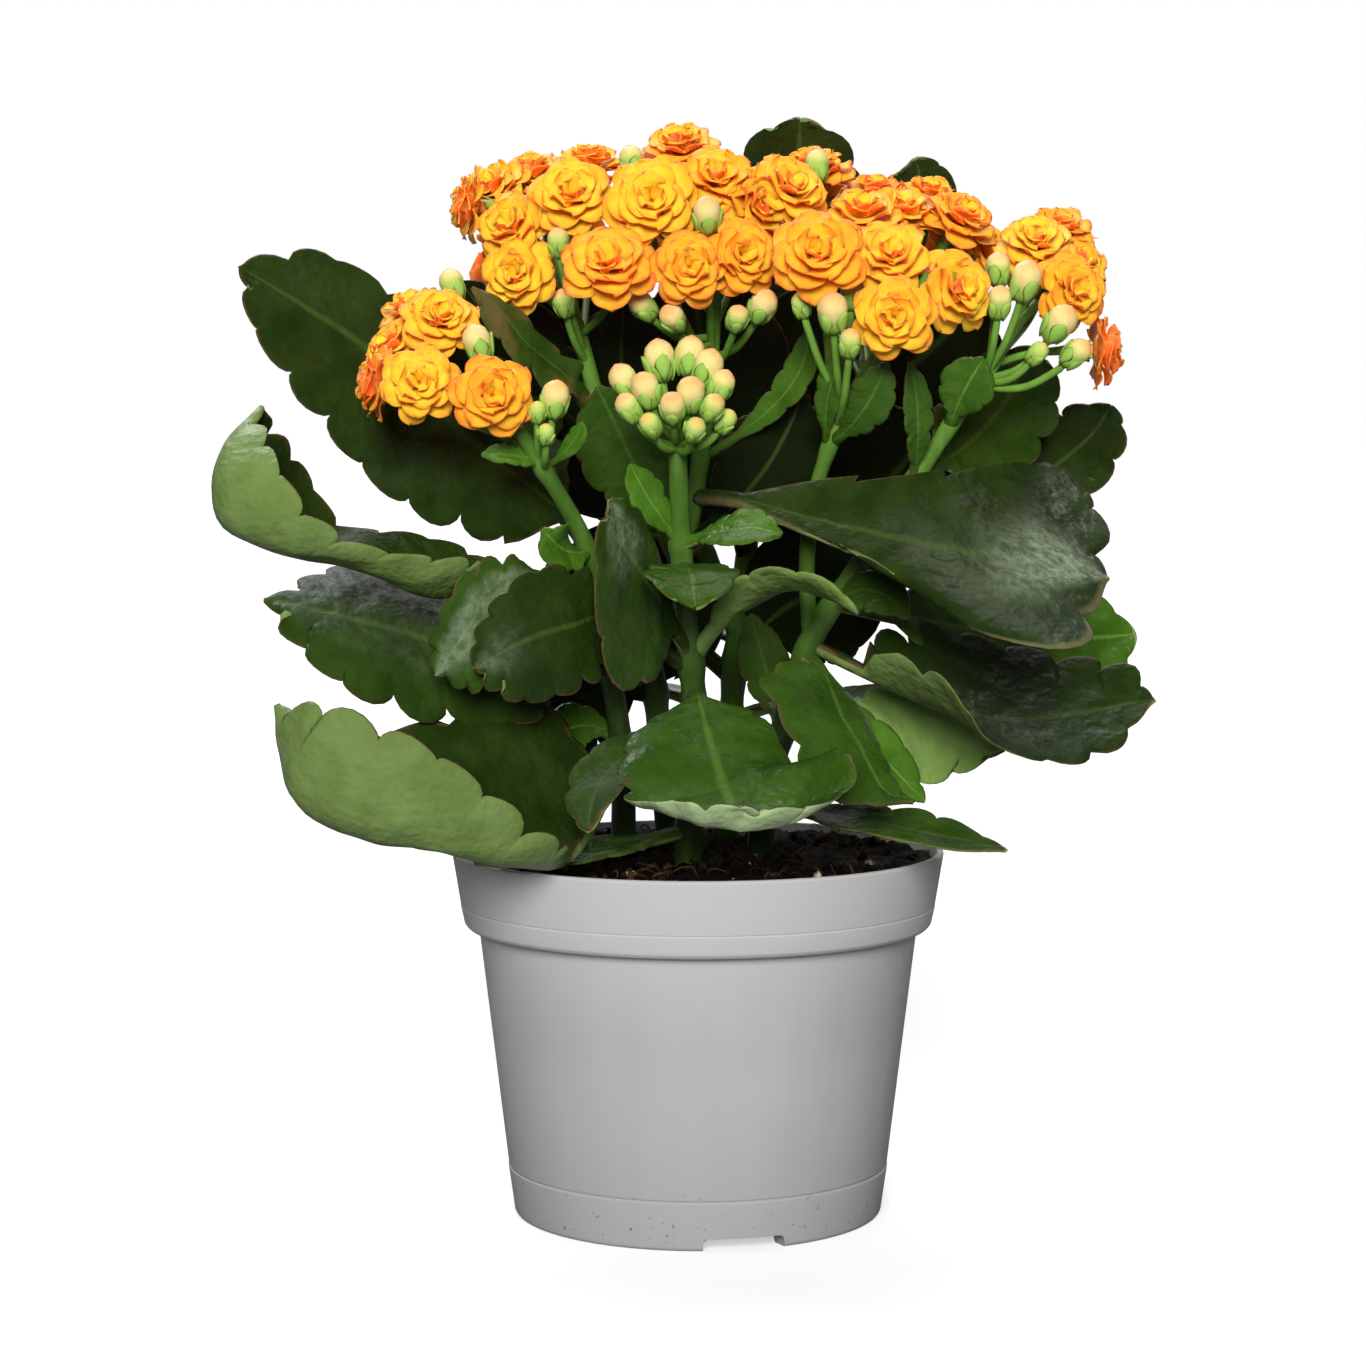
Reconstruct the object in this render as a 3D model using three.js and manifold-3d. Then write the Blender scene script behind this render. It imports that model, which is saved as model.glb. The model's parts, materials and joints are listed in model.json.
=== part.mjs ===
// A potted kalanchoe with double orange blooms, in a 12 cm nursery pot.
// Millimetres, +Z up, the pot's axis on Z, its foot ring on z = 0, the front of the plant towards -Y.
import * as THREE from "three";
import { mergeVertices } from "three/addons/utils/BufferGeometryUtils.js";
import Module from "manifold-3d";

const wasm = await Module();
wasm.setup();

// Driving dimensions of the pot
const POT_HEIGHT = 89;
const RIM_RADIUS = 60;
const BAND_RADIUS = 57;
const BAND_BOTTOM = 70.6;
const WALL_TOP_RADIUS = 53.5;
const FOOT_RADIUS = 45;
const WALL = 1.4;
const PARTING_LINE = 11.9;
const FLOOR_RAISE = 3.2;
const FOOT_RING_WIDTH = 5;
const POT_SIDES = 24;
const DRAIN_NOTCHES = 3;
const DRAIN_NOTCH_WIDTH = 20;
const DRAIN_NOTCH_HEIGHT = 3;
const FIRST_NOTCH_TURN = 14;
const DRAIN_HOLES = 6;
const DRAIN_HOLE_RADIUS = 4.5;
const DRAIN_HOLE_SIDES = 6;
const DRAIN_HOLE_CIRCLE = 31;

// Driving dimensions of the soil
const SOIL_TOP = 86.6;
const SOIL_HEAP = 1.8;
const SOIL_LUMPS = 0.9;
const SOIL_SIDES = 16;
const SOIL_RINGS = 4;
const SOIL_GAP = 0.9;
const STEM_HOLE_BOTTOM = 62;
const STEM_HOLE_GAP = 0.6;
const STEM_HOLE_SIDES = 7;

// Driving dimensions of the plant
const STEM_SIDES = 5;
const RINGS_PER_POINT = 1.2;
const CURVE_STEPS = 40;
const OUTLINE_STEPS = 100;
const LEAF_THICKNESS = 1.5;
const BRACT_THICKNESS = 1.1;
const BRACT_WIDTH = 16;
const PETIOLE_SHARE = 0.16;
const PETIOLE_HALF_WIDTH = 2.2;
const PETIOLE_WIDTH_SHARE = 0.13;
const TIP_HALF_WIDTH = 1;
const LOBES_START = 0.16;
const BLADE_START = 0.05;
const NOTCH_DEPTH = 3.6;
const NOTCH_WIDTH_SHARE = 0.12;
const NOTCH_MEAN = 0.75;
const NOTCH_SWING = 0.35;
const NOTCH_WAVE = 2.4;
const DEEPEST_TRIM = 0.4;
const BLADE_FULLNESS = 0.62;
const FLAT_CUP = 15;
const DEEP_CUP = 40;
const DEEP_FOLD = 0.4;
const DISH = 2;
const BLOOM_RADIUS = 9;
const BLOOM_HEIGHT = 12;
const BLOOM_CENTRE = 8;
const PETAL_NOTCH = 0.75;
const PETAL_DIP = 0.7;
const BUD_HEIGHT = 9.5;
const BUD_RADIUS = 3.3;
const STALK_RADIUS = 1;
const CALYX_RADIUS = 2.2;
const CALYX_GAP = 0.5;
const STALK_STRETCH = 22;
const STALK_NECK = 3;
const CLEARANCE = 0.3;
const SLIVER = 0.5;

// The stems, each a list of points up its middle. A fork starts inside the stem that it grows from.
const STEMS = [
  {
    name: "front", plant: "front", foot: 3.6, top: 2.1,
    path: [[-3, -20, 64], [-2, -20, 100], [-1, -20, 124], [-2, -22, 138], [-4, -28, 162], [-5, -35, 190]],
  },
  {
    name: "left", plant: "left", foot: 3.4, top: 1.7,
    path: [
      [-19, -6, 64], [-18, -9, 100], [-19, -14, 120], [-22, -20, 139], [-26, -26, 163], [-42, -38, 192],
    ],
  },
  {
    name: "middle", plant: "middle", foot: 3.5, top: 1.7,
    path: [[-4, 7, 64], [-8, 5, 100], [-12, 2, 140], [-19, 0, 174], [-27, -1, 208], [-33, 0, 228]],
  },
  {
    name: "inner", plant: "middle", foot: 2.6, top: 1.7,
    path: [[-12, 2, 138], [-4, 1, 160], [0, -1, 180], [3, -3, 205], [4, -5, 226]],
  },
  {
    name: "right", plant: "right", foot: 3.6, top: 1.7,
    path: [
      [14, -4, 64], [16, -7, 100], [21, -11, 121], [27, -14, 141], [38, -11, 158], [57, -8, 187],
      [73, -7, 210],
    ],
  },
  {
    name: "upright", plant: "right", foot: 2.1, top: 1.5,
    path: [[27, -14, 139], [26, -12, 158], [28, -11, 176], [34, -15, 194], [44, -16, 212]],
  },
  {
    name: "back", plant: "back", foot: 3.6, top: 1.7,
    path: [[6, 28, 64], [8, 29, 110], [11, 32, 148], [18, 38, 190], [32, 48, 232]],
  },
  {
    name: "far", plant: "back", foot: 2.6, top: 1.7,
    path: [[10, 31, 140], [2, 34, 160], [-12, 38, 186], [-30, 46, 230]],
  },
];

// The broad leaves in front. Each grows from a stem at a height. Its rib runs from the foot of the blade to
// the tip, and its left and right edges, seen from the foot with the upper face up, run beside it. Lobes are
// on each side.
const BROAD_LEAVES = [
  {
    on: "left", at: 160, lobes: 7, notch: 4.4,
    rib: [[-32, -20, 171], [-55, -8, 189], [-79, -4, 210], [-110, -6, 230]],
    left: [[-47, -14, 165], [-71, -10, 173], [-93, -12, 195], [-104, -14, 212], [-109, -10, 224]],
    right: [[-33, -4, 193], [-55, 2, 215], [-75, 2, 226], [-91, -2, 234], [-105, -4, 233]],
  },
  {
    on: "left", at: 152, lobes: 7, notch: 4.2,
    rib: [
      [-46, -34, 156], [-62, -42, 154], [-80, -48, 161], [-96, -52, 164], [-108, -52, 171],
      [-109, -48, 185], [-100, -42, 196],
    ],
    left: [[-52, -46, 162], [-71, -56, 164], [-83, -61, 170], [-92, -60, 180], [-97, -52, 189]],
    right: [[-52, -22, 162], [-69, -24, 167], [-83, -26, 170], [-92, -28, 182], [-97, -34, 191]],
  },
  {
    on: "left", at: 134, lobes: 6, notch: 6,
    rib: [[-36, -26, 138], [-56, -30, 140], [-76, -38, 146], [-100, -42, 152]],
    left: [[-37, -32, 124], [-60, -42, 123], [-80, -50, 131], [-95, -48, 144]],
    right: [[-47, -4, 148], [-64, -2, 154], [-82, -12, 158], [-94, -28, 156]],
  },
  {
    on: "left", at: 112, lobes: 6, notch: 5.4,
    rib: [
      [-29, -45, 94], [-41, -56, 93], [-58, -64, 98], [-78, -66, 101], [-90, -64, 108], [-94, -62, 119],
      [-95, -60, 129],
    ],
    left: [[-31, -60, 99], [-44, -70, 110], [-57, -75, 120], [-70, -75, 127], [-83, -72, 131]],
    right: [[-23, -30, 104], [-29, -28, 121], [-44, -32, 129], [-62, -40, 124], [-82, -50, 123]],
  },
  {
    on: "left", at: 150, lobes: 5,
    rib: [[-38, -40, 157], [-48, -46, 153], [-54, -50, 144], [-60, -51, 135]],
    left: [[-40, -42, 151], [-44, -48, 143], [-51, -50, 131]],
    right: [[-44, -43, 162], [-53, -48, 159], [-59, -50, 150], [-62, -50, 141]],
  },
  {
    on: "front", at: 134, lobes: 6,
    rib: [[-20, -34, 147], [-30, -44, 146], [-40, -50, 143], [-51, -54, 137]],
    left: [[-23, -42, 134], [-32, -48, 130], [-41, -53, 129], [-48, -55, 132]],
    right: [[-25, -38, 158], [-38, -44, 159], [-48, -50, 151], [-52, -53, 142]],
  },
  {
    on: "front", at: 138, lobes: 4,
    rib: [[-6, -28, 145], [-11, -36, 154], [-16, -42, 162], [-19, -44, 169], [-20, -42, 175]],
    left: [[-10, -40, 134], [-17, -46, 131], [-23, -50, 141], [-24, -52, 155], [-23, -50, 168]],
    right: [[-7, -26, 151], [-10, -30, 161], [-12, -34, 170], [-16, -38, 175]],
  },
  {
    on: "front", at: 127, lobes: 6, dish: 4,
    rib: [[0, -32, 128], [3, -48, 118], [7, -64, 107], [9, -72, 103], [9, -79, 109]],
    left: [
      [12, -36, 125], [18, -43, 120], [24, -50, 111], [29, -58, 117], [34, -64, 120], [35, -70, 112],
      [27, -77, 109],
    ],
    right: [[-11, -38, 123], [-18, -46, 115], [-17, -60, 109], [-10, -72, 108], [0, -78, 109]],
  },
  {
    on: "right", at: 137, lobes: 5,
    rib: [[29, -22, 134], [33, -34, 125], [38, -44, 116], [43, -50, 108], [49, -52, 106]],
    left: [[36, -24, 127], [41, -34, 119], [45, -46, 110]],
    right: [[22, -24, 136], [15, -30, 133], [18, -38, 127], [21, -46, 119], [25, -52, 111], [34, -54, 106]],
  },
  {
    on: "right", at: 124, lobes: 4,
    rib: [[37, -2, 124], [49, 2, 117], [62, 8, 112], [76, 12, 112]],
    left: [[40, -6, 111], [50, -2, 105], [64, 6, 106]],
    right: [[45, 4, 128], [60, 10, 128], [73, 12, 121]],
  },
  {
    on: "right", at: 140, lobes: 6, notch: 6,
    rib: [[39, -16, 134], [56, -14, 126], [73, -8, 121], [93, 0, 122], [112, 6, 125]],
    left: [[44, -2, 142], [56, 4, 144], [72, 8, 140], [90, 10, 136], [107, 10, 133]],
    right: [[43, -24, 139], [53, -30, 137], [61, -34, 130], [68, -30, 118], [84, -20, 112], [101, -8, 114]],
  },
  {
    on: "inner", at: 175, lobes: 4, notch: 6,
    rib: [[11, -15, 174], [35, -28, 168], [60, -36, 163], [82, -32, 160], [96, -28, 156]],
    left: [[22, -18, 177], [34, -21, 179], [48, -18, 180], [72, -4, 183], [89, 10, 183], [98, -6, 168]],
    right: [[19, -22, 170], [35, -32, 164], [52, -46, 153], [68, -60, 144], [86, -62, 142]],
  },
  {
    on: "middle", at: 190, lobes: 3,
    rib: [[-29, -18, 201], [-40, -24, 211], [-46, -26, 218], [-53, -26, 224]],
    left: [[-33, -24, 199], [-43, -28, 207], [-50, -29, 216]],
    right: [[-28, -18, 206], [-35, -20, 211], [-43, -23, 220]],
  },
];

// A leaf grows from a stem at a height. Its rib bends through a middle point to its tip. Then come the
// blade's width, the way its upper face looks, how far its left and right halves curl up, in degrees,
// and the lobes on each side.
const blade = ([on, at, middle, tip, width, face, cup, lobes, more]) => ({
  on, at, middle, tip, width, face, cup, lobes,
  widest: 0.5, full: BLADE_FULLNESS, petiole: PETIOLE_SHARE, ...more,
});

const LEAVES = [
  ["front", 158, [-2, -44, 158], [-1, -58, 151], 23, [0, -0.1, 1], [15, 15], 3],
  ["front", 136, [16, -30, 154], [37, -38, 149], 20, [0, 0.35, 0.9], [30, 20], 3],
  ["front", 96, [-27, -32, 92], [-52, -42, 91], 18, [0, -0.2, 1], [10, 10], 4],
  ["front", 122, [-19, -43, 114], [-25, -63, 101], 18, [-0.4, -0.8, 0.5], [20, 20], 3],
  ["right", 132, [38, -24, 119], [53, -32, 104], 14, [0, -0.8, 0.6], [15, 15], 3],
  ["right", 101, [42, -36, 99], [71, -42, 94], 20, [0, -0.3, 1], [20, 20], 3],
  ["right", 150, [78, 22, 140], [111, 36, 139], 36, [0, -0.9, 0.5], [8, 8], 4, { full: 0.45 }],
  ["right", 164, [84, 20, 179], [103, 24, 197], 25, [0, -0.9, 0.4], [14, 14], 4, { full: 0.42 }],
  ["right", 180, [71, 12, 192], [82, 14, 211], 30, [0, -1, 0.2], [8, 8], 4, { full: 0.45 }],
  ["middle", 182, [-41, 9, 206], [-58, 10, 227], 26, [0, -1, 0.2], [8, 8], 3],
  ["middle", 176, [-19, 8, 206], [-18, 6, 222], 22, [0.2, -1, 0.2], [8, 8], 3],
  ["inner", 158, [-16, -12, 184], [-24, -16, 201], 25, [0.1, -1, 0.2], [8, 8], 4],
  ["inner", 162, [15, -4, 180], [25, 0, 200], 26, [0, -1, 0.3], [8, 8], 4],
  ["middle", 126, [-26, -2, 127], [-41, -6, 118], 28, [0, -1, 0.3], [8, 8], 4, { full: 0.5 }],
  ["middle", 128, [-52, 20, 138], [-92, 28, 146], 40, [0.2, 0.1, 1], [12, 12], 5],
  ["middle", 112, [-46, 12, 110], [-76, 18, 104], 36, [0, 0.1, 1], [12, 12], 4],
  ["far", 166, [-20, 26, 192], [-32, 24, 228], 50, [0, -1, 0.1], [8, 8], 3, { full: 0.42 }],
  ["back", 158, [6, 24, 188], [-2, 22, 230], 48, [0, -1, 0.1], [8, 8], 3, { full: 0.42 }],
  ["back", 172, [30, 33, 198], [34, 33, 230], 46, [0, -1, 0.1], [8, 8], 3, { full: 0.42 }],
  ["back", 182, [50, 34, 204], [70, 32, 224], 40, [0, -1, 0.1], [8, 8], 3, { full: 0.42 }],
  ["back", 150, [42, 28, 172], [60, 28, 196], 42, [0, -1, 0.3], [8, 8], 3, { full: 0.42 }],
  ["back", 128, [-12, 35, 144], [-38, 36, 156], 42, [0, -1, 0.3], [8, 8], 3, { full: 0.45 }],
  ["back", 134, [28, 20, 150], [50, 14, 154], 40, [0, -1, 0.3], [8, 8], 3, { full: 0.45 }],
  ["back", 196, [25, 68, 240], [27, 70, 272], 37, [0, -1, 0.2], [8, 8], 4, { full: 0.34 }],
  ["back", 208, [52, 64, 240], [57, 66, 261], 24, [0, -1, 0.2], [8, 8], 3, { full: 0.4 }],
  ["back", 118, [40, 52, 122], [66, 62, 112], 42, [0.1, 0.2, 1], [12, 12], 5],
  ["back", 118, [-24, 50, 126], [-56, 62, 116], 42, [-0.1, 0.2, 1], [12, 12], 5],
  ["back", 132, [14, 56, 142], [16, 76, 136], 40, [0, 0.3, 1], [12, 12], 4],
  ["back", 152, [52, 50, 172], [82, 56, 184], 38, [-0.3, -0.3, 0.9], [12, 12], 5],
  ["far", 160, [-42, 46, 178], [-78, 50, 192], 40, [0.3, -0.3, 0.9], [12, 12], 5],
].map(blade);

// The toothed bracts and small leaves
const BRACTS = [
  ["front", 164, [-11, -33, 174], [-16, -34, 183], 10, [0.4, -1, 0.2], [15, 15], 3],
  ["front", 164, [8, -38, 168], [19, -42, 167], 14, [0, -0.7, 0.8], [15, 15], 4],
  ["left", 116, [-29, -13, 120], [-40, -20, 112], 13, [0.3, -0.8, 0.5], [20, 20], 4],
  ["left", 182, [-42, -38, 185], [-50, -41, 185], 8, [0, -0.7, 0.7], [15, 15], 3],
  ["left", 182, [-29, -36, 188], [-27, -37, 193], 6, [-0.5, -0.8, 0.3], [15, 15], 2],
  ["left", 162, [-31, -34, 163], [-36, -38, 168], 13, [-0.1, -0.9, 0.5], [15, 15], 3],
  ["right", 192, [63, -15, 200], [68, -14, 208], 14, [0, -1, 0.2], [10, 10], 3],
  ["right", 178, [52, -16, 192], [50, -18, 207], 9, [0.5, -0.9, 0], [20, 20], 4],
  ["right", 146, [40, -16, 153], [50, -18, 146], 13, [0, -0.8, 0.5], [10, 10], 3],
  ["right", 118, [17, 2, 131], [13, 6, 146], 13, [0, -1, 0.3], [10, 10], 3],
  ["upright", 188, [39, -22, 196], [44, -24, 207], 12, [0.2, -0.9, 0.2], [15, 15], 4],
  ["upright", 186, [31, -20, 200], [37, -20, 212], 8, [-0.3, -0.9, 0.2], [20, 20], 3],
  ["inner", 184, [21, -8, 200], [26, -10, 216], 9, [-0.3, -0.9, 0.2], [20, 20], 4],
].map(blade);

// The flower heads, each at the top of a stem. A bloom is the middle of its rosette and the way it looks:
// degrees round from the front, to the right, and degrees up, and its size. A bud is its middle and its
// size.
const HEADS = [
  {
    name: "left",
    on: "left",
    stretch: 12,
    blooms: [
      [-76, -30, 202, -75, 5, 0.88], [-72, -21, 211, -50, 35, 0.9], [-68, -12, 220, -40, 60, 0.9],
      [-60, -30, 217, 10, 38, 0.95], [-64, -43, 202, 0, 15, 0.88], [-47, -47, 199, 8, 8, 0.95],
    ],
    buds: [
      [-51, -36, 211, 1], [-37, -43, 195, 0.6], [-33, -42, 198, 1], [-35, -44, 190, 0.6],
      [-58, -18, 225, 0.9],
    ],
  },
  {
    name: "front",
    on: "front",
    stretch: 4,
    blooms: [],
    buds: [
      [-17, -38, 202, 1], [-9, -34, 207, 1.1], [-2, -34, 208, 1.05], [2, -38, 205, 1.05],
      [-12, -44, 200, 1], [-6, -49, 196, 0.9], [-2, -47, 199, 1], [5, -40, 201, 0.9], [3, -47, 196, 0.8],
      [-16, -43, 196, 0.85], [-11, -47, 192, 0.75], [-1, -49, 191, 0.75], [6, -43, 193, 0.7],
    ],
  },
  {
    name: "top_left",
    on: "middle",
    blooms: [
      [-56, -1, 245, -80, 5, 0.85], [-50, 8, 250, -45, 40, 0.95], [-45, -9, 240, -25, 20, 0.92],
      [-41, 14, 254, -30, 65, 0.95], [-30, -12, 247, 0, 25, 1], [-43, -15, 228, -15, 10, 0.92],
      [-21, -26, 230, 0, 35, 1.12], [-27, 18, 257, 0, 75, 0.95],
    ],
    buds: [[-33, -18, 235, 0.8], [-32, -12, 221, 0.8]],
  },
  {
    name: "top",
    on: "inner",
    blooms: [
      [-11, -18, 245, 0, 15, 1.12], [-4, 8, 260, -10, 60, 1], [4, -9, 251, 5, 40, 1.02],
      [14, -8, 244, 50, 15, 1], [-2, -27, 229, 5, 10, 0.92], [10, -24, 232, 20, 10, 0.95],
      [22, -4, 249, 30, 35, 1.05],
    ],
    buds: [
      [-13, -20, 220, 0.9], [-6, -24, 217, 0.9], [2, -25, 241, 1], [15, -20, 220, 1], [9, -23, 217, 0.8],
      [-16, 8, 256, 0.9],
    ],
  },
  {
    name: "top_right",
    on: "upright",
    blooms: [
      [28, -30, 232, -5, 20, 1.14], [45, -26, 232, 0, 35, 0.98], [45, -37, 217, 0, 5, 0.97],
      [61, -24, 224, 35, 10, 1], [40, 0, 243, 0, 60, 1.05], [50, 6, 244, 10, 60, 1],
      [29, 18, 256, -10, 70, 0.95], [44, 24, 250, 10, 75, 0.95], [57, 21, 249, 20, 70, 0.95],
      [64, 6, 243, 40, 50, 1], [72, 15, 235, 55, 40, 0.95],
    ],
    buds: [
      [24, -27, 220, 0.7], [31, -34, 218, 1.1], [36, -24, 223, 0.9], [35, -34, 211, 0.8], [29, 8, 255, 0.9],
    ],
  },
  {
    name: "right",
    on: "right",
    stretch: 9,
    blooms: [
      [81, -5, 236, 0, 45, 0.95], [88, 6, 240, 20, 60, 0.95], [92, 0, 231, 45, 30, 0.95],
      [89, -13, 224, 30, 10, 0.95], [98, -5, 210, 90, 0, 0.88], [90, 20, 228, 150, 20, 0.95],
    ],
    buds: [
      [71, -14, 229, 0.9], [77, -19, 226, 1.1], [71, -18, 221, 0.9], [85, -20, 216, 1.1],
      [80, -18, 209, 0.7], [89, -19, 209, 0.9],
    ],
  },
  {
    name: "back_right",
    on: "back",
    blooms: [
      [31, 42, 253, 180, 75, 1], [48, 44, 244, 140, 40, 1], [14, 46, 249, -160, 50, 1],
      [4, 56, 236, -170, 25, 1], [64, 36, 236, 110, 25, 1],
    ],
    buds: [[13, 53, 228, 1], [51, 52, 226, 0.9]],
  },
  {
    name: "back_left",
    on: "far",
    blooms: [
      [-30, 42, 252, -170, 65, 1], [-48, 38, 243, -120, 40, 1], [-13, 46, 246, 170, 40, 1],
      [-32, 58, 237, -170, 10, 1], [-52, 54, 230, -130, 10, 1],
    ],
    buds: [[-44, 57, 243, 1], [-17, 57, 235, 0.9]],
  },
];

const COLOURS = {
  pot: { color: 0xa5a6a6, roughness: 0.45, metalness: 0 },
  soil: { color: 0x1c1512, roughness: 1, metalness: 0 },
  leaf: { color: 0x34551c, roughness: 0.4, metalness: 0 },
  bloom: { color: 0xff9d1e, roughness: 0.65, metalness: 0 },
};

const vector = (point) => new THREE.Vector3(...point);

const smoothCurve = (points) => new THREE.CatmullRomCurve3(points.map(vector), false, "catmullrom", 0.5);

// A closed mesh as a solid
function solid(geometry) {
  const bare = new THREE.BufferGeometry();
  bare.setAttribute("position", geometry.getAttribute("position"));
  bare.setIndex(geometry.index);
  const merged = mergeVertices(bare, 1e-4);
  const mesh = {
    numProp: 3,
    vertProperties: merged.attributes.position.array,
    triVerts: new Uint32Array(merged.index.array),
  };
  return new wasm.Manifold(new wasm.Mesh(mesh));
}

// A named piece from a solid
function piece(name, shape, look) {
  const { vertProperties, triVerts, numProp } = shape.getMesh();
  const positions = new Float32Array((vertProperties.length / numProp) * 3);
  for (let i = 0; i < positions.length / 3; i++)
    positions.set(vertProperties.subarray(i * numProp, i * numProp + 3), i * 3);
  const geometry = new THREE.BufferGeometry();
  geometry.setAttribute("position", new THREE.BufferAttribute(positions, 3));
  geometry.setIndex(new THREE.BufferAttribute(new Uint32Array(triVerts), 1));
  geometry.computeVertexNormals();
  const mesh = new THREE.Mesh(geometry, new THREE.MeshStandardMaterial(COLOURS[look]));
  mesh.name = name;
  return mesh;
}

// A solid from triangles, given as points and threes of their numbers
function fromTriangles(points, triangles) {
  const geometry = new THREE.BufferGeometry();
  const positions = points.flatMap((p) => [p.x, p.y, p.z]);
  geometry.setAttribute("position", new THREE.Float32BufferAttribute(positions, 3));
  geometry.setIndex(triangles.flat());
  return solid(geometry);
}

// A repeatable random draw between 0 and 1, from a whole number
function draw(seed) {
  const value = Math.sin(seed * 12.9898 + 4.1414) * 43758.5453;
  return value - Math.floor(value);
}

// The triangles between two rings of points round one axis, each point with its angle, where a ring of one
// point is a tip
function zip(lower, upper, triangles) {
  if (lower.length === 1 || upper.length === 1) {
    const ring = lower.length === 1 ? upper : lower;
    ring.forEach((point, i) => {
      const next = ring[(i + 1) % ring.length].id;
      triangles.push(lower.length === 1 ? [lower[0].id, next, point.id] : [point.id, next, upper[0].id]);
    });
    return;
  }
  const angleOf = (ring, i) => ring[i % ring.length].angle + 2 * Math.PI * Math.floor(i / ring.length);
  let i = 0;
  let j = 0;
  while (i < lower.length || j < upper.length) {
    const here = lower[i % lower.length].id;
    const there = upper[j % upper.length].id;
    const lowerIsNext = angleOf(lower, i + 1) <= angleOf(upper, j + 1);
    if (j >= upper.length || (i < lower.length && lowerIsNext)) {
      i += 1;
      triangles.push([here, lower[i % lower.length].id, there]);
    } else {
      j += 1;
      triangles.push([here, upper[j % upper.length].id, there]);
    }
  }
}

// A solid from rings of numbered points, joined in turn, with a flat end on the first and last
function closed(points, rings) {
  const triangles = [];
  const first = rings[0];
  const last = rings.at(-1);
  for (let i = 1; i < first.length - 1; i++) triangles.push([first[0].id, first[i + 1].id, first[i].id]);
  for (let i = 1; i < rings.length; i++) zip(rings[i - 1], rings[i], triangles);
  for (let i = 1; i < last.length - 1; i++) triangles.push([last[0].id, last[i].id, last[i + 1].id]);
  return fromTriangles(points, triangles);
}

// A closed solid stacked from rings of [angle, radius, height], standing on a foot along an axis
function stacked(rings, foot, axis, spin) {
  const turn = new THREE.Quaternion().setFromUnitVectors(new THREE.Vector3(0, 0, 1), axis);
  const points = [];
  const numbered = rings.map((ring) =>
    ring.map(([angle, radius, height]) => {
      const around = angle + spin;
      const local = new THREE.Vector3(Math.cos(around) * radius, Math.sin(around) * radius, height);
      points.push(local.applyQuaternion(turn).add(foot));
      return { angle, id: points.length - 1 };
    }),
  );
  return closed(points, numbered);
}

const evenRing = (count, radius, height) =>
  Array.from({ length: count }, (_, i) => [(i / count) * 2 * Math.PI, radius, height]);

// A ring of petals: each has a pointed end, and a lower notch on either side
function petalRing(petals, radius, height, offset) {
  const ring = [];
  for (let petal = 0; petal < petals; petal++) {
    const angleAt = (share) => ((petal + share + offset) / petals) * 2 * Math.PI;
    ring.push([angleAt(0), radius * PETAL_NOTCH, height - PETAL_DIP]);
    ring.push([angleAt(0.5), radius, height]);
  }
  return ring;
}

// The way a bloom looks, from its degrees round from the front and up
function bloomAxis(round, up) {
  const a = THREE.MathUtils.degToRad(round);
  const t = THREE.MathUtils.degToRad(up);
  return new THREE.Vector3(Math.sin(a) * Math.cos(t), -Math.cos(a) * Math.cos(t), Math.sin(t));
}

// A bloom: a short tube that opens into three layers of petals
function bloom([x, y, z, round, up, size], number) {
  const axis = bloomAxis(round, up);
  const foot = vector([x, y, z]).addScaledVector(axis, -BLOOM_CENTRE);
  const r = BLOOM_RADIUS * size;
  const h = BLOOM_HEIGHT;
  const rings = [
    evenRing(3, r * 0.16, 0),
    evenRing(3, r * 0.24, h * 0.4),
    petalRing(5, r, h * 0.62, 0),
    evenRing(3, r * 0.6, h * 0.68),
    petalRing(5, r * 0.8, h * 0.84, 0.5),
    evenRing(3, r * 0.4, h * 0.84),
    petalRing(3, r * 0.52, h, 0.2),
  ];
  return stacked(rings, foot, axis, draw(number) * 2 * Math.PI);
}

// A closed tube along points, from rings of [share of the way, radius, sides], where one side is a point
function tube(path, rings) {
  const curve = smoothCurve(path);
  const frames = curve.computeFrenetFrames(CURVE_STEPS, false);
  const points = [];
  const numbered = rings.map(([share, radius, sides]) => {
    const centre = curve.getPointAt(share);
    const frame = Math.round(share * CURVE_STEPS);
    return Array.from({ length: sides }, (_, k) => {
      const angle = (k / sides) * 2 * Math.PI;
      const point = centre.clone().addScaledVector(frames.normals[frame], Math.cos(angle) * radius);
      points.push(point.addScaledVector(frames.binormals[frame], Math.sin(angle) * radius));
      return { angle, id: points.length - 1 };
    });
  });
  return closed(points, numbered);
}

// A stem's rings from its foot to its top
function stemRings(stem) {
  const steps = Math.round((stem.path.length - 1) * RINGS_PER_POINT);
  return Array.from({ length: steps + 1 }, (_, i) => {
    const share = i / steps;
    return [share, stem.foot + (stem.top - stem.foot) * share, STEM_SIDES];
  });
}

// The middle of a stem at a height, found by halving the stretch that it lies in
function stemPoint(stem, height) {
  const curve = smoothCurve(stem.path);
  let low = 0;
  let high = 1;
  for (let i = 0; i < 30; i++) {
    const half = (low + high) / 2;
    if (curve.getPoint(half).z < height) low = half;
    else high = half;
  }
  return curve.getPoint(low);
}

const stemNamed = (name) => STEMS.find((stem) => stem.name === name);

// How deep the notches between the lobes cut into a blade's edge at a share of the way along its outline
function notchDepth(lobes, share, width, deepest) {
  const phase = ((share - LOBES_START) / (1 - LOBES_START)) * (lobes + 0.5);
  const rise = phase <= 0 ? 1 : Math.sqrt(Math.abs(Math.sin(Math.PI * Math.min(phase, lobes + 0.5))));
  const uneven = NOTCH_MEAN + NOTCH_SWING * Math.sin(share * lobes * NOTCH_WAVE + width);
  return deepest * uneven * (1 - rise);
}

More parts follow.
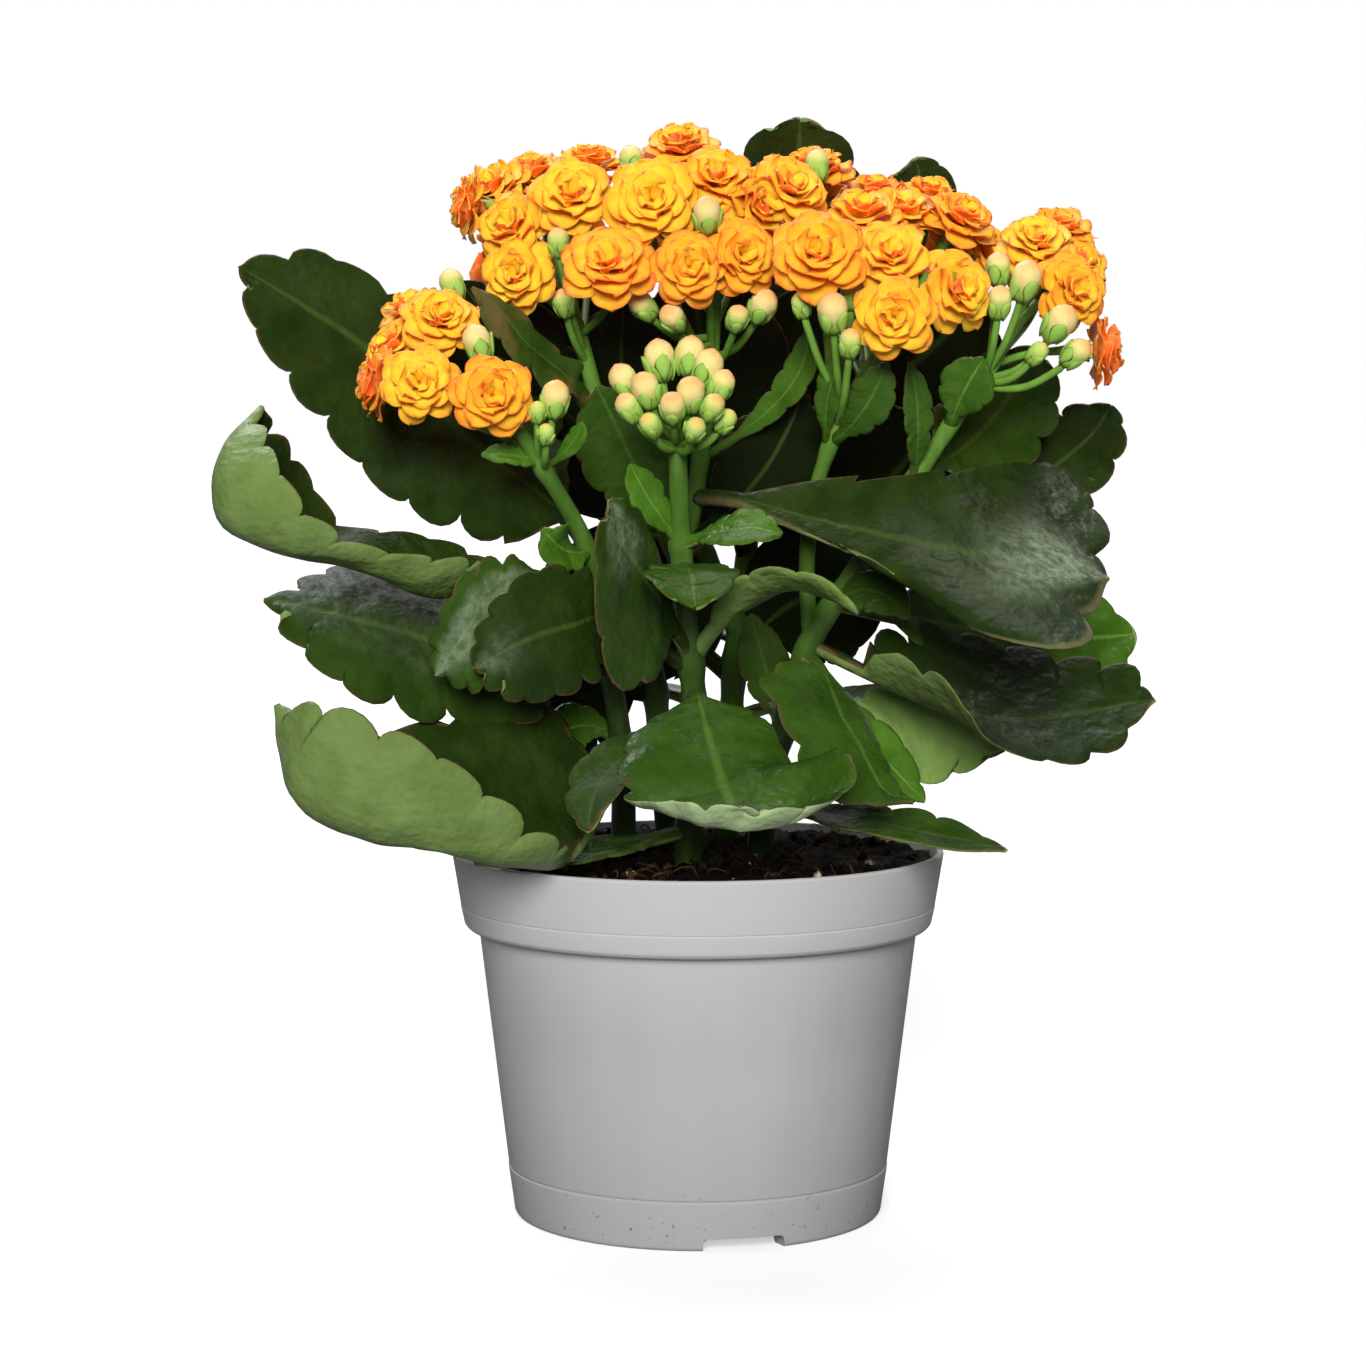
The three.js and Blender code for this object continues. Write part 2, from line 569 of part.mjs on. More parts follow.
// A blade's cross-sections, one in each notch and one on each lobe: each one's share of the way along the
// outline, its share of the way along the rib, and how far the outline faces forward there
function bladeRows(lobes, length, halfAt) {
  const halves = Array.from({ length: OUTLINE_STEPS + 1 }, (_, i) => halfAt(i / OUTLINE_STEPS));
  const step = length / OUTLINE_STEPS;
  const run = [0];
  for (let i = 1; i <= OUTLINE_STEPS; i++) run.push(run[i - 1] + Math.hypot(step, halves[i] - halves[i - 1]));
  const shares = [LOBES_START / 2];
  for (let half = 1; half <= lobes * 2; half++)
    shares.push(LOBES_START + ((1 - LOBES_START) * half) / (lobes * 2 + 1));
  return [...shares, 1].map((share) => {
    const after = Math.max(run.findIndex((length) => length >= share * run.at(-1) - 1e-9), 1);
    const part = (share * run.at(-1) - run[after - 1]) / (run[after] - run[after - 1]);
    const fall = halves[after - 1] - halves[after];
    const forward = Math.max(fall / Math.hypot(fall, step), 0);
    return { share, blade: (after - 1 + part) / OUTLINE_STEPS, forward };
  });
}

// A point of the rib that runs through a base, a middle and a tip, and its direction there
function rib(base, middle, tip, t) {
  const blend = (a, b, c) =>
    base.clone().multiplyScalar(a).addScaledVector(middle, b).addScaledVector(tip, c);
  return {
    point: blend((1 - t) * (1 - 2 * t), 4 * t * (1 - t), t * (2 * t - 1)),
    along: blend(4 * t - 3, 4 - 8 * t, 4 * t - 1).normalize(),
  };
}

// The rows of points across the middle of a leaf whose halves are alike and curl up, from foot to tip
function curledRows(leaf) {
  const base = stemPoint(stemNamed(leaf.on), leaf.at);
  const middle = vector(leaf.middle);
  const tip = vector(leaf.tip);
  const cup = Math.max(...leaf.cup);
  const flat = leaf.width <= BRACT_WIDTH || cup <= FLAT_CUP;
  const columns = flat ? [-1, 1] : cup >= DEEP_CUP ? [-1, -0.5, 0, 0.5, 1] : [-1, 0, 1];
  const bulge = Math.log(0.5) / Math.log(leaf.widest);
  const halfAt = (blade) => (leaf.width / 2) * Math.max(Math.sin(Math.PI * blade ** bulge), 0) ** leaf.full;
  const length = (base.distanceTo(middle) + middle.distanceTo(tip)) * (1 - leaf.petiole);
  const petiole = Math.min(PETIOLE_HALF_WIDTH, leaf.width * PETIOLE_WIDTH_SHARE);
  const deepest = Math.min(NOTCH_DEPTH, leaf.width * NOTCH_WIDTH_SHARE);
  const foot = { share: 0, blade: 0, forward: 0 };
  const stalkRows = (leaf.width > BRACT_WIDTH ? [0, leaf.petiole] : [0]).map((t) => ({ ...foot, t }));
  const blades = bladeRows(leaf.lobes, length, halfAt);
  const rows = blades.map((row) => ({ ...row, t: leaf.petiole + (1 - leaf.petiole) * row.blade }));
  return [...stalkRows, ...rows].map(({ share, blade, forward, t }) => {
    const { point, along } = rib(base, middle, tip, t);
    const side = along.clone().cross(vector(leaf.face)).normalize();
    const normal = side.clone().cross(along);
    const depth = notchDepth(leaf.lobes, share, leaf.width / 2, deepest);
    const full = Math.max(halfAt(blade), petiole * (1 - blade), TIP_HALF_WIDTH);
    const half = full - Math.min(depth * (1 - forward), full * DEEPEST_TRIM);
    return columns.map((column) => {
      const curl = THREE.MathUtils.degToRad(leaf.cup[column < 0 ? 0 : 1]) + 1e-4;
      const angle = curl * Math.abs(column);
      const out = (Math.sign(column) * half * Math.sin(angle)) / curl;
      const rise = (half * (1 - Math.cos(angle))) / curl;
      const across = point.clone().addScaledVector(side, out).addScaledVector(normal, rise);
      return across.addScaledVector(along, -depth * forward * column ** 2);
    });
  });
}

// The rows of points across the middle of a broad leaf: each bends from its left edge over its rib to its
// right edge
function broadRows(leaf) {
  const base = stemPoint(stemNamed(leaf.on), leaf.at).toArray();
  const ribCurve = smoothCurve([base, ...leaf.rib]);
  const lengths = ribCurve.getLengths();
  const petiole = lengths[Math.round((lengths.length - 1) / leaf.rib.length)] / lengths.at(-1);
  const edges = [leaf.left, leaf.right].map((edge) => smoothCurve([leaf.rib[0], ...edge, leaf.rib.at(-1)]));
  const halfAt = (blade) => edges[0].getPointAt(blade).distanceTo(edges[1].getPointAt(blade)) / 2;
  const foot = { share: 0, blade: 0, forward: 0 };
  const blades = bladeRows(leaf.lobes, lengths.at(-1) * (1 - petiole), halfAt);
  const rows = blades.map((row) => ({ ...row, t: petiole + (1 - petiole) * row.blade }));
  const sections = [{ ...foot, t: 0 }, { ...foot, t: petiole }, ...rows].map((row) => {
    const point = ribCurve.getPointAt(row.t);
    const [left, right] = edges.map((edge) => edge.getPointAt(row.blade));
    const mean = left.clone().add(right).divideScalar(2).sub(point);
    const away = right.sub(left).divideScalar(2);
    return { ...row, point, along: ribCurve.getTangentAt(row.t), mean, away };
  });
  const wide = sections.filter(({ blade, away }) => blade > BLADE_START && away.length() > TIP_HALF_WIDTH);
  const width = Math.max(...wide.map(({ away }) => away.length()));
  const folded = Math.max(...wide.map(({ mean, away }) => mean.length() / away.length())) > DEEP_FOLD;
  const columns = folded ? [-1, -0.5, 0, 0.5, 1] : [-1, 0, 1];
  const dish = leaf.dish ?? DISH;
  return sections.map(({ share, blade, forward, point, along, mean, away }) => {
    const gap = (other) => Math.abs(other.blade - blade);
    const side = wide.reduce((a, b) => (gap(b) < gap(a) ? b : a)).away.clone().normalize();
    const spare = Math.max(PETIOLE_HALF_WIDTH * (1 - blade) ** 3, TIP_HALF_WIDTH);
    const depth = notchDepth(leaf.lobes, share, width, leaf.notch ?? NOTCH_DEPTH);
    return columns.map((column) => {
      const slope = away.clone().addScaledVector(mean, Math.sign(column) * dish).length();
      const trim = Math.min((depth * (1 - forward)) / Math.max(slope, 1), DEEPEST_TRIM);
      const reach = column * (1 - trim);
      const across = point.clone().addScaledVector(side, reach * spare);
      if (blade > 0) across.addScaledVector(away, reach).addScaledVector(mean, Math.abs(reach) ** dish);
      return across.addScaledVector(along, -depth * forward * column ** 2);
    });
  });
}

// A leaf: a thick blade on a petiole, with scalloped edges
function leafBlade(leaf, thickness) {
  const rows = leaf.rib ? broadRows(leaf) : curledRows(leaf);
  const columns = rows[0].length;
  const upper = [];
  const lower = [];
  rows.forEach((row, i) =>
    row.forEach((middle, j) => {
      const before = rows[Math.max(i - 1, 0)][j];
      const after = rows[Math.min(i + 1, rows.length - 1)][j];
      const across = row[Math.min(j + 1, columns - 1)].clone().sub(row[Math.max(j - 1, 0)]);
      const up = across.cross(after.clone().sub(before)).normalize();
      upper.push(middle.clone().addScaledVector(up, thickness / 2));
      lower.push(middle.clone().addScaledVector(up, -thickness / 2));
    }),
  );
  return slab(upper, lower, rows.length, columns);
}

// A closed solid between an upper and a lower grid of points, both split into triangles alike
function slab(upper, lower, rows, columns) {
  const count = upper.length;
  const triangles = [];
  const quad = (a, b, c, d) => triangles.push([a, b, c], [a, c, d]);
  for (let i = 0; i < rows - 1; i++)
    for (let j = 0; j < columns - 1; j++) {
      const a = i * columns + j;
      const d = a + columns;
      triangles.push([a, a + 1, d + 1], [a, d + 1, d]);
      triangles.push([a + count, d + 1 + count, a + 1 + count], [a + count, d + count, d + 1 + count]);
    }
  for (let i = 0; i < rows - 1; i++) {
    const left = i * columns;
    const right = left + columns - 1;
    quad(left, left + columns, left + columns + count, left + count);
    quad(right + columns, right, right + count, right + columns + count);
  }
  for (let j = 0; j < columns - 1; j++) {
    const end = (rows - 1) * columns + j;
    quad(j + 1, j, j + count, j + 1 + count);
    quad(end, end + 1, end + 1 + count, end + count);
  }
  return fromTriangles([...upper, ...lower], triangles);
}

// A flower stalk: it leaves a stem, bends, and comes in along an axis to end in a calyx or a bud
function stalk(start, end, axis, rings) {
  const reach = start.distanceTo(end);
  const bend = end.clone().addScaledVector(axis, -reach * 0.4).lerp(start, 0.25);
  const neck = end.clone().addScaledVector(axis, -STALK_NECK);
  return tube([start, bend, neck, end].map((p) => p.toArray()), rings);
}

// Where the stalk of one of a head's blooms or buds leaves the stem: the stalks share out its last stretch
function stalkStart(head, number) {
  const stem = stemNamed(head.on);
  const share = (number + 0.5) / (head.blooms.length + head.buds.length);
  return stemPoint(stem, stem.path.at(-1)[2] - (head.stretch ?? STALK_STRETCH) * share);
}

// The green stalk and calyx under a bloom's tube
function bloomStalk([x, y, z, round, up], start) {
  const axis = bloomAxis(round, up);
  const end = vector([x, y, z]).addScaledVector(axis, -BLOOM_CENTRE - CALYX_GAP);
  const rings = [[0, STALK_RADIUS, 3], [0.6, STALK_RADIUS * 0.9, 3], [1, CALYX_RADIUS, 3]];
  return stalk(start, end, axis, rings);
}

// A stalk with a bud: its calyx and a pointed egg of folded petals
function bud([x, y, z, size], start) {
  const centre = vector([x, y, z]);
  const axis = centre.clone().sub(start);
  axis.z = Math.abs(axis.z) + axis.length() * 0.5;
  axis.normalize();
  const height = BUD_HEIGHT * size;
  const end = centre.clone().addScaledVector(axis, height / 2);
  const share = Math.min(height / start.distanceTo(end), 0.9);
  const rings = [
    [0, STALK_RADIUS, 3],
    [1 - share, STALK_RADIUS, 3],
    [1 - share * 0.75, BUD_RADIUS * size * 0.9, 4],
    [1 - share * 0.35, BUD_RADIUS * size, 4],
    [1, 0, 1],
  ];
  return stalk(start, end, axis, rings);
}

// A solid turned round Z from a closed profile of [radius, height]
function revolved(profile) {
  const points = profile.map(([r, z]) => new THREE.Vector2(r, z));
  return solid(new THREE.LatheGeometry(points, POT_SIDES).rotateX(Math.PI / 2));
}

// A drain notch's cutter: a low slot with rounded upper corners, through the foot ring
function notchCutter(turn) {
  const half = DRAIN_NOTCH_WIDTH / 2;
  const corner = 1.8;
  const outline = new THREE.Shape();
  outline.moveTo(-half, -1);
  outline.lineTo(half, -1);
  outline.lineTo(half - 0.4, DRAIN_NOTCH_HEIGHT - corner * 0.7);
  outline.lineTo(half - corner, DRAIN_NOTCH_HEIGHT);
  outline.lineTo(corner - half, DRAIN_NOTCH_HEIGHT);
  outline.lineTo(0.4 - half, DRAIN_NOTCH_HEIGHT - corner * 0.7);
  const cut = new THREE.ExtrudeGeometry(outline, { depth: 20, bevelEnabled: false });
  cut.rotateX(Math.PI / 2).rotateZ(Math.PI / 2).translate(FOOT_RADIUS - 12, 0, 0).rotateZ(turn);
  return solid(cut);
}

// The pot: a thin wall with a band at its rim, a parting line low down, and a raised floor on a foot ring
function pot() {
  const footInner = FOOT_RADIUS - FOOT_RING_WIDTH;
  const profile = [
    [0, FLOOR_RAISE],
    [footInner - 1.5, FLOOR_RAISE],
    [footInner, 0],
    [FOOT_RADIUS - 0.6, 0],
    [FOOT_RADIUS, 0.9],
    [FOOT_RADIUS + 1.3, PARTING_LINE - 0.2],
    [FOOT_RADIUS + 1, PARTING_LINE + 0.2],
    [WALL_TOP_RADIUS, BAND_BOTTOM - 0.3],
    [BAND_RADIUS - 0.7, BAND_BOTTOM],
    [BAND_RADIUS, BAND_BOTTOM + 0.9],
    [RIM_RADIUS - 0.1, POT_HEIGHT - 0.7],
    [RIM_RADIUS - 0.5, POT_HEIGHT],
    [RIM_RADIUS - WALL - 0.3, POT_HEIGHT],
    [BAND_RADIUS - WALL, BAND_BOTTOM + WALL],
    [WALL_TOP_RADIUS - WALL, BAND_BOTTOM - 0.6],
    [FOOT_RADIUS - WALL, FLOOR_RAISE + WALL],
    [0, FLOOR_RAISE + WALL],
  ];
  let shape = revolved(profile);
  for (let i = 0; i < DRAIN_NOTCHES; i++) {
    const turn = FIRST_NOTCH_TURN - 90 + (360 / DRAIN_NOTCHES) * i;
    shape = shape.subtract(notchCutter(THREE.MathUtils.degToRad(turn)));
  }
  for (let i = 0; i < DRAIN_HOLES; i++) {
    const turn = (i / DRAIN_HOLES) * 2 * Math.PI;
    const cut = new THREE.CylinderGeometry(DRAIN_HOLE_RADIUS, DRAIN_HOLE_RADIUS, 12, DRAIN_HOLE_SIDES);
    cut.rotateX(Math.PI / 2);
    cut.translate(DRAIN_HOLE_CIRCLE * Math.cos(turn), DRAIN_HOLE_CIRCLE * Math.sin(turn), FLOOR_RAISE);
    shape = shape.subtract(solid(cut));
  }
  return shape;
}

// The soil's height: a low heap with lumps
function soilHeight(x, y, share) {
  const lumps = Math.sin(x * 0.21 + 1.3) * Math.cos(y * 0.17 - 0.6) + 0.6 * Math.sin(x * 0.43 - y * 0.37);
  return SOIL_TOP + SOIL_HEAP * (1 - share) + SOIL_LUMPS * lumps;
}

// The soil: a plug that fills the pot, with a plain hole for each rooted stem
function soil() {
  const bandInner = BAND_RADIUS - WALL;
  const rise = (SOIL_TOP - BAND_BOTTOM) / (POT_HEIGHT - BAND_BOTTOM);
  const topRadius = bandInner + (RIM_RADIUS - BAND_RADIUS) * rise - SOIL_GAP;
  const rings = [
    evenRing(SOIL_SIDES, FOOT_RADIUS - WALL - SOIL_GAP, FLOOR_RAISE + WALL + CLEARANCE),
    evenRing(SOIL_SIDES, WALL_TOP_RADIUS - WALL - SOIL_GAP - 0.4, BAND_BOTTOM - 1.4),
    evenRing(SOIL_SIDES, bandInner - SOIL_GAP, BAND_BOTTOM + 3),
  ];
  for (let i = 0; i < SOIL_RINGS; i++) {
    const share = 1 - i / SOIL_RINGS;
    const ring = evenRing(i < 2 ? SOIL_SIDES : SOIL_SIDES / 2, topRadius * share, 0);
    rings.push(ring.map(([a, r]) => [a, r, soilHeight(r * Math.cos(a), r * Math.sin(a), share)]));
  }
  rings.push([[0, 0, soilHeight(0, 0, 0)]]);
  let shape = stacked(rings, new THREE.Vector3(), new THREE.Vector3(0, 0, 1), 0);
  for (const stem of STEMS.filter(({ path }) => path[0][2] < SOIL_TOP)) {
    const [x, y] = stem.path[0];
    const radius = stem.foot + STEM_HOLE_GAP;
    const hole = [[x, y, STEM_HOLE_BOTTOM], stem.path[1]];
    shape = shape.subtract(tube(hole, [[0, radius, STEM_HOLE_SIDES], [1, radius, STEM_HOLE_SIDES]]));
  }
  return shape;
}

// Each plant's green parts, joined in one solid
function greenery(plant) {
  const shapes = [];
  for (const stem of STEMS.filter((s) => s.plant === plant))
    shapes.push(tube(stem.path, stemRings(stem)));
  const ofPlant = ({ on }) => stemNamed(on).plant === plant;
  for (const leaf of [...BROAD_LEAVES, ...LEAVES].filter(ofPlant))
    shapes.push(leafBlade(leaf, LEAF_THICKNESS));
  for (const bract of BRACTS.filter(ofPlant)) shapes.push(leafBlade(bract, BRACT_THICKNESS));
  for (const head of HEADS.filter(ofPlant)) {
    head.blooms.forEach((row, i) => shapes.push(bloomStalk(row, stalkStart(head, i))));
    head.buds.forEach((row, i) => shapes.push(bud(row, stalkStart(head, head.blooms.length + i))));
  }
  const bodies = wasm.Manifold.union(shapes).simplify(SLIVER).decompose();
  return bodies.sort((a, b) => b.volume() - a.volume())[0];
}

const plant = new THREE.Group();
plant.add(piece("pot", pot(), "pot"));
plant.add(piece("soil", soil(), "soil"));
const plantNames = [...new Set(STEMS.map((stem) => stem.plant))];
for (const name of plantNames) plant.add(piece("greenery_" + name, greenery(name), "leaf"));

for (const head of HEADS.filter(({ blooms }) => blooms.length)) {
  const bodies = wasm.Manifold.union(head.blooms.map(bloom)).decompose();
  bodies.forEach((body, i) => plant.add(piece("blooms_" + head.name + "_" + (i + 1), body, "bloom")));
}

export default plant;
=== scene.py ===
import json
import math

import bpy
import numpy as np
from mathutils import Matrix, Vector

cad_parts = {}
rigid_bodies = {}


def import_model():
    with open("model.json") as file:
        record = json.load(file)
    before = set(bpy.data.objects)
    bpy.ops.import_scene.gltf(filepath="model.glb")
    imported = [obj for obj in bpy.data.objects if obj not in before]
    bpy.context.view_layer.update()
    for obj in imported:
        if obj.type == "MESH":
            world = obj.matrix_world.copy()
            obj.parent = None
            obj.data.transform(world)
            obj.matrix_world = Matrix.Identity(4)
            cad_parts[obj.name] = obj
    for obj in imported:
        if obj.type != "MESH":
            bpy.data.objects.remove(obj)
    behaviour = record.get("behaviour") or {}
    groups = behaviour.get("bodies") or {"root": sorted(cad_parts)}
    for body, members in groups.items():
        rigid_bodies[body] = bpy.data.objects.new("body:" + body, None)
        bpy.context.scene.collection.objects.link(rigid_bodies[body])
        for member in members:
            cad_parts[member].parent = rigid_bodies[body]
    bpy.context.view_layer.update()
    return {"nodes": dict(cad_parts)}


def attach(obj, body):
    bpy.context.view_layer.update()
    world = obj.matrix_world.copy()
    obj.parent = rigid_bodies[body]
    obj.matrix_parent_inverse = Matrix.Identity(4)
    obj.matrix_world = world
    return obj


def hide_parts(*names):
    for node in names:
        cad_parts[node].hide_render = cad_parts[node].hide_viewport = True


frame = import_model()

MM = 0.001
TURN = 2 * math.pi

# The pot
POT_HEIGHT = 89
RIM_RADIUS = 60
BAND_RADIUS = 57
BAND_BOTTOM = 70.6
WALL_TOP_RADIUS = 53.5
FOOT_RADIUS = 45
WALL = 1.4
PARTING_LINE = 11.9
BAND_LINE = 76
FLOOR_RAISE = 3.2
FOOT_RING_WIDTH = 5
POT_SEGMENTS = 192
POT_ROUNDING = 0.35
SHARP_EDGE = 35
DRAIN_NOTCHES = 3
DRAIN_NOTCH_WIDTH = 20
DRAIN_NOTCH_HEIGHT = 3
NOTCH_CORNER = 1.8
FIRST_NOTCH_TURN = 14
DRAIN_HOLES = 6
DRAIN_HOLE_RADIUS = 4.5
DRAIN_HOLE_CIRCLE = 31
DRAIN_HOLE_SIDES = 32

# The soil
SOIL_TOP = 86.6
SOIL_HEAP = 1.8
SOIL_LUMPS = 0.9
SOIL_GAP = 0.9
SOIL_SEGMENTS = 180
SOIL_RINGS = 56
SOIL_SEED = 7
CRUMBS = 620
FIBRES = 170
FIBRE_POINTS = 6

# The leaves
LEAF_THICKNESS = 1.5
BRACT_THICKNESS = 1.1
BRACT_WIDTH = 16
PETIOLE_SHARE = 0.16
PETIOLE_HALF_WIDTH = 2.2
PETIOLE_WIDTH_SHARE = 0.13
PETIOLE_FLESH = 0.8
LEAST_HALF_WIDTH = 0.25
BLADE_FULLNESS = 0.62
LOBES_START = 0.16
TIP_LOBE = 0.5
LOBE_SHIFT = 0.4
NOTCH_DEPTH = 3.6
NOTCH_WIDTH_SHARE = 0.12
NOTCH_MEAN = 0.75
NOTCH_SWING = 0.35
NOTCH_WAVE = 2.4
QUILTING = 0.3
EDGE_WAVE = 0.03
EDGE_WAVES = 2.2
RIB_KEEL = 0.55
RIB_GROOVE = 0.25
GROOVE_WIDTH = 1.2
SHADE_SHINE = 0.15

# The stems, stalks, buds and blooms. The tones run from the dull foot of a stem to a bright sepal.
NODE_SWELL = 0.14
NODE_REACH = 2.4
STALK_RADIUS = 1
STALK_STRETCH = 22
STALK_NECK = 3
BLOOM_CENTRE = 8
TUBE_TOP = 6.5
PETAL_THICKNESS = 0.34
CALYX_RADIUS = 2.0
SEPALS = 4
SEPAL_THICKNESS = 0.5
BUD_HEIGHT = 9.5
BUD_RADIUS = 3.3
BUD_FOLD_DEPTH = 0.06
BUD_OUTLINE = [
    (0, 0.34), (0.1, 0.7), (0.25, 0.88), (0.45, 0.98), (0.65, 1), (0.82, 0.84), (0.93, 0.52), (1, 0.08),
]
GREEN_HEIGHT = 230
STALK_TONE = 1.1
BUD_STALK_TONE = 1.15
SEPAL_TONE = 1.25

# How finely the shapes are divided
CURVE_STEPS = 400
STEM_STEPS = 600
BEND_STEPS = 60
FOOT_ROWS = 5
PETIOLE_ROWS = 5
ROWS_PER_LOBE = 8
SMALL_ROWS_PER_LOBE = 5
BROAD_COLUMNS = 25
LEAF_COLUMNS = 17
BRACT_COLUMNS = 9
STEM_ROWS, STEM_SIDES = 90, 18
STALK_ROWS, STALK_SIDES = 18, 10
BUD_STALK_ROWS, BUD_STALK_SIDES = 14, 8
BUD_ROWS, BUD_SIDES = 18, 24
PETAL_ROWS, PETAL_COLUMNS = 11, 9
SEPAL_ROWS, SEPAL_COLUMNS = 7, 5
TUBE_ROWS, TUBE_SIDES = 10, 12

# Colours as six hex digits. The two of a pair are mixed.
OLD_LEAF = "132006", "202d0e"
YOUNG_LEAF = "31540f", "43671d"
# Painted shade: the near-black green that darkens leaves deep inside the plant
PAINTED_LEAF_SHADE = "050803"
RIB = "7ba047"
LEAF_BACK = "536631", "607440"
YOUNG_BACK = "7fa450"
PALE_BACK = "9cb084"
FLUSH = "6e5230"
RIM = "57382a"
ROLLED_RIM = "5a6a3c", "7c604c"
# Painted sheen: the pale grey-green laid on wrinkled patches of the upper face in place of a highlight
PAINTED_SHEEN = "87957a"
STEM_FOOT = "1b2a0c", "293d15"
STEM_TOP = "4c7526", "648d36"
SEPAL = "86ab4a"
PETAL_GOLD = "ffc434", "ffa02a"
PETAL_TIP = "ff662a"
PETAL_BACK = "fb9c48", "fa662c"
BUD_CREAM = "cfbf7c", "e09f62"
BUD_FOLD = "dba662"
BUD_GREEN = "76993a", "a6ba5e"
POT_GREY = "929191", "999898"
POT_CLOUD = "9d9c9c"
# Painted light: the lighter grey of the pot's upper wall and rim band
POT_PAINTED_LIGHT = "a4a3a3"
# Painted shade: the darker grey towards the pot's foot
POT_PAINTED_SHADE = "8b8a8a"
POT_DIRT = "5b5550"
PEAT = "070504", "130d08"
FIBRE = "4a3524"
PALE_CRUMB = "b9ab94"
FLOOR_GREY = "747474", "797979"
FLOOR_SEEN = "c4c4c4"

# The view, from the photograph: pixels, and millimetres on the camera's film
PHOTO_WIDTH = 1366
FOCAL_PIXELS = 3293
SENSOR = 36
CAMERA_PLACE = (-3.65, -800, 191.1)
CAMERA_TILT = 4.4

# The light: strengths, and each lamp's softness, height and turn round from the front, in degrees
ROOM_LIGHT = 0.06
BACK_LIGHT = 0.8
FLOOR_GLOW = 0.5
FLOOR_REACH = 30
LAMPS = [
    dict(name="key", strength=5.4, softness=30, height=23, turn=3, gloss=False),
    dict(name="overhead", strength=2, softness=46, height=64, turn=172, gloss=True),
    dict(name="sheen", strength=1.1, softness=34, height=50, turn=138, gloss=True, diffuse=False),
]

# The stems, each a list of points up its middle. A fork starts inside the stem that it grows from.
STEMS = {
    "front": dict(
        plant="front", foot=3.6, top=2.1,
        path=[(-3, -20, 64), (-2, -20, 100), (-1, -20, 124), (-2, -22, 138), (-4, -28, 162), (-5, -35, 190)],
    ),
    "left": dict(
        plant="left", foot=3.4, top=1.7,
        path=[
            (-19, -6, 64), (-18, -9, 100), (-19, -14, 120), (-22, -20, 139), (-26, -26, 163),
            (-42, -38, 192),
        ],
    ),
    "middle": dict(
        plant="middle", foot=3.5, top=1.7,
        path=[(-4, 7, 64), (-8, 5, 100), (-12, 2, 140), (-19, 0, 174), (-27, -1, 208), (-33, 0, 228)],
    ),
    "inner": dict(
        plant="middle", foot=2.6, top=1.7,
        path=[(-12, 2, 138), (-4, 1, 160), (0, -1, 180), (3, -3, 205), (4, -5, 226)],
    ),
    "right": dict(
        plant="right", foot=3.6, top=1.7,
        path=[
            (14, -4, 64), (16, -7, 100), (21, -11, 121), (27, -14, 141), (38, -11, 158), (57, -8, 187),
            (73, -7, 210),
        ],
    ),
    "upright": dict(
        plant="right", foot=2.1, top=1.5,
        path=[(27, -14, 139), (26, -12, 158), (28, -11, 176), (34, -15, 194), (44, -16, 212)],
    ),
    "back": dict(
        plant="back", foot=3.6, top=1.7,
        path=[(6, 28, 64), (8, 29, 110), (11, 32, 148), (18, 38, 190), (32, 48, 232)],
    ),
    "far": dict(
        plant="back", foot=2.6, top=1.7,
        path=[(10, 31, 140), (2, 34, 160), (-12, 38, 186), (-30, 46, 230)],
    ),
}
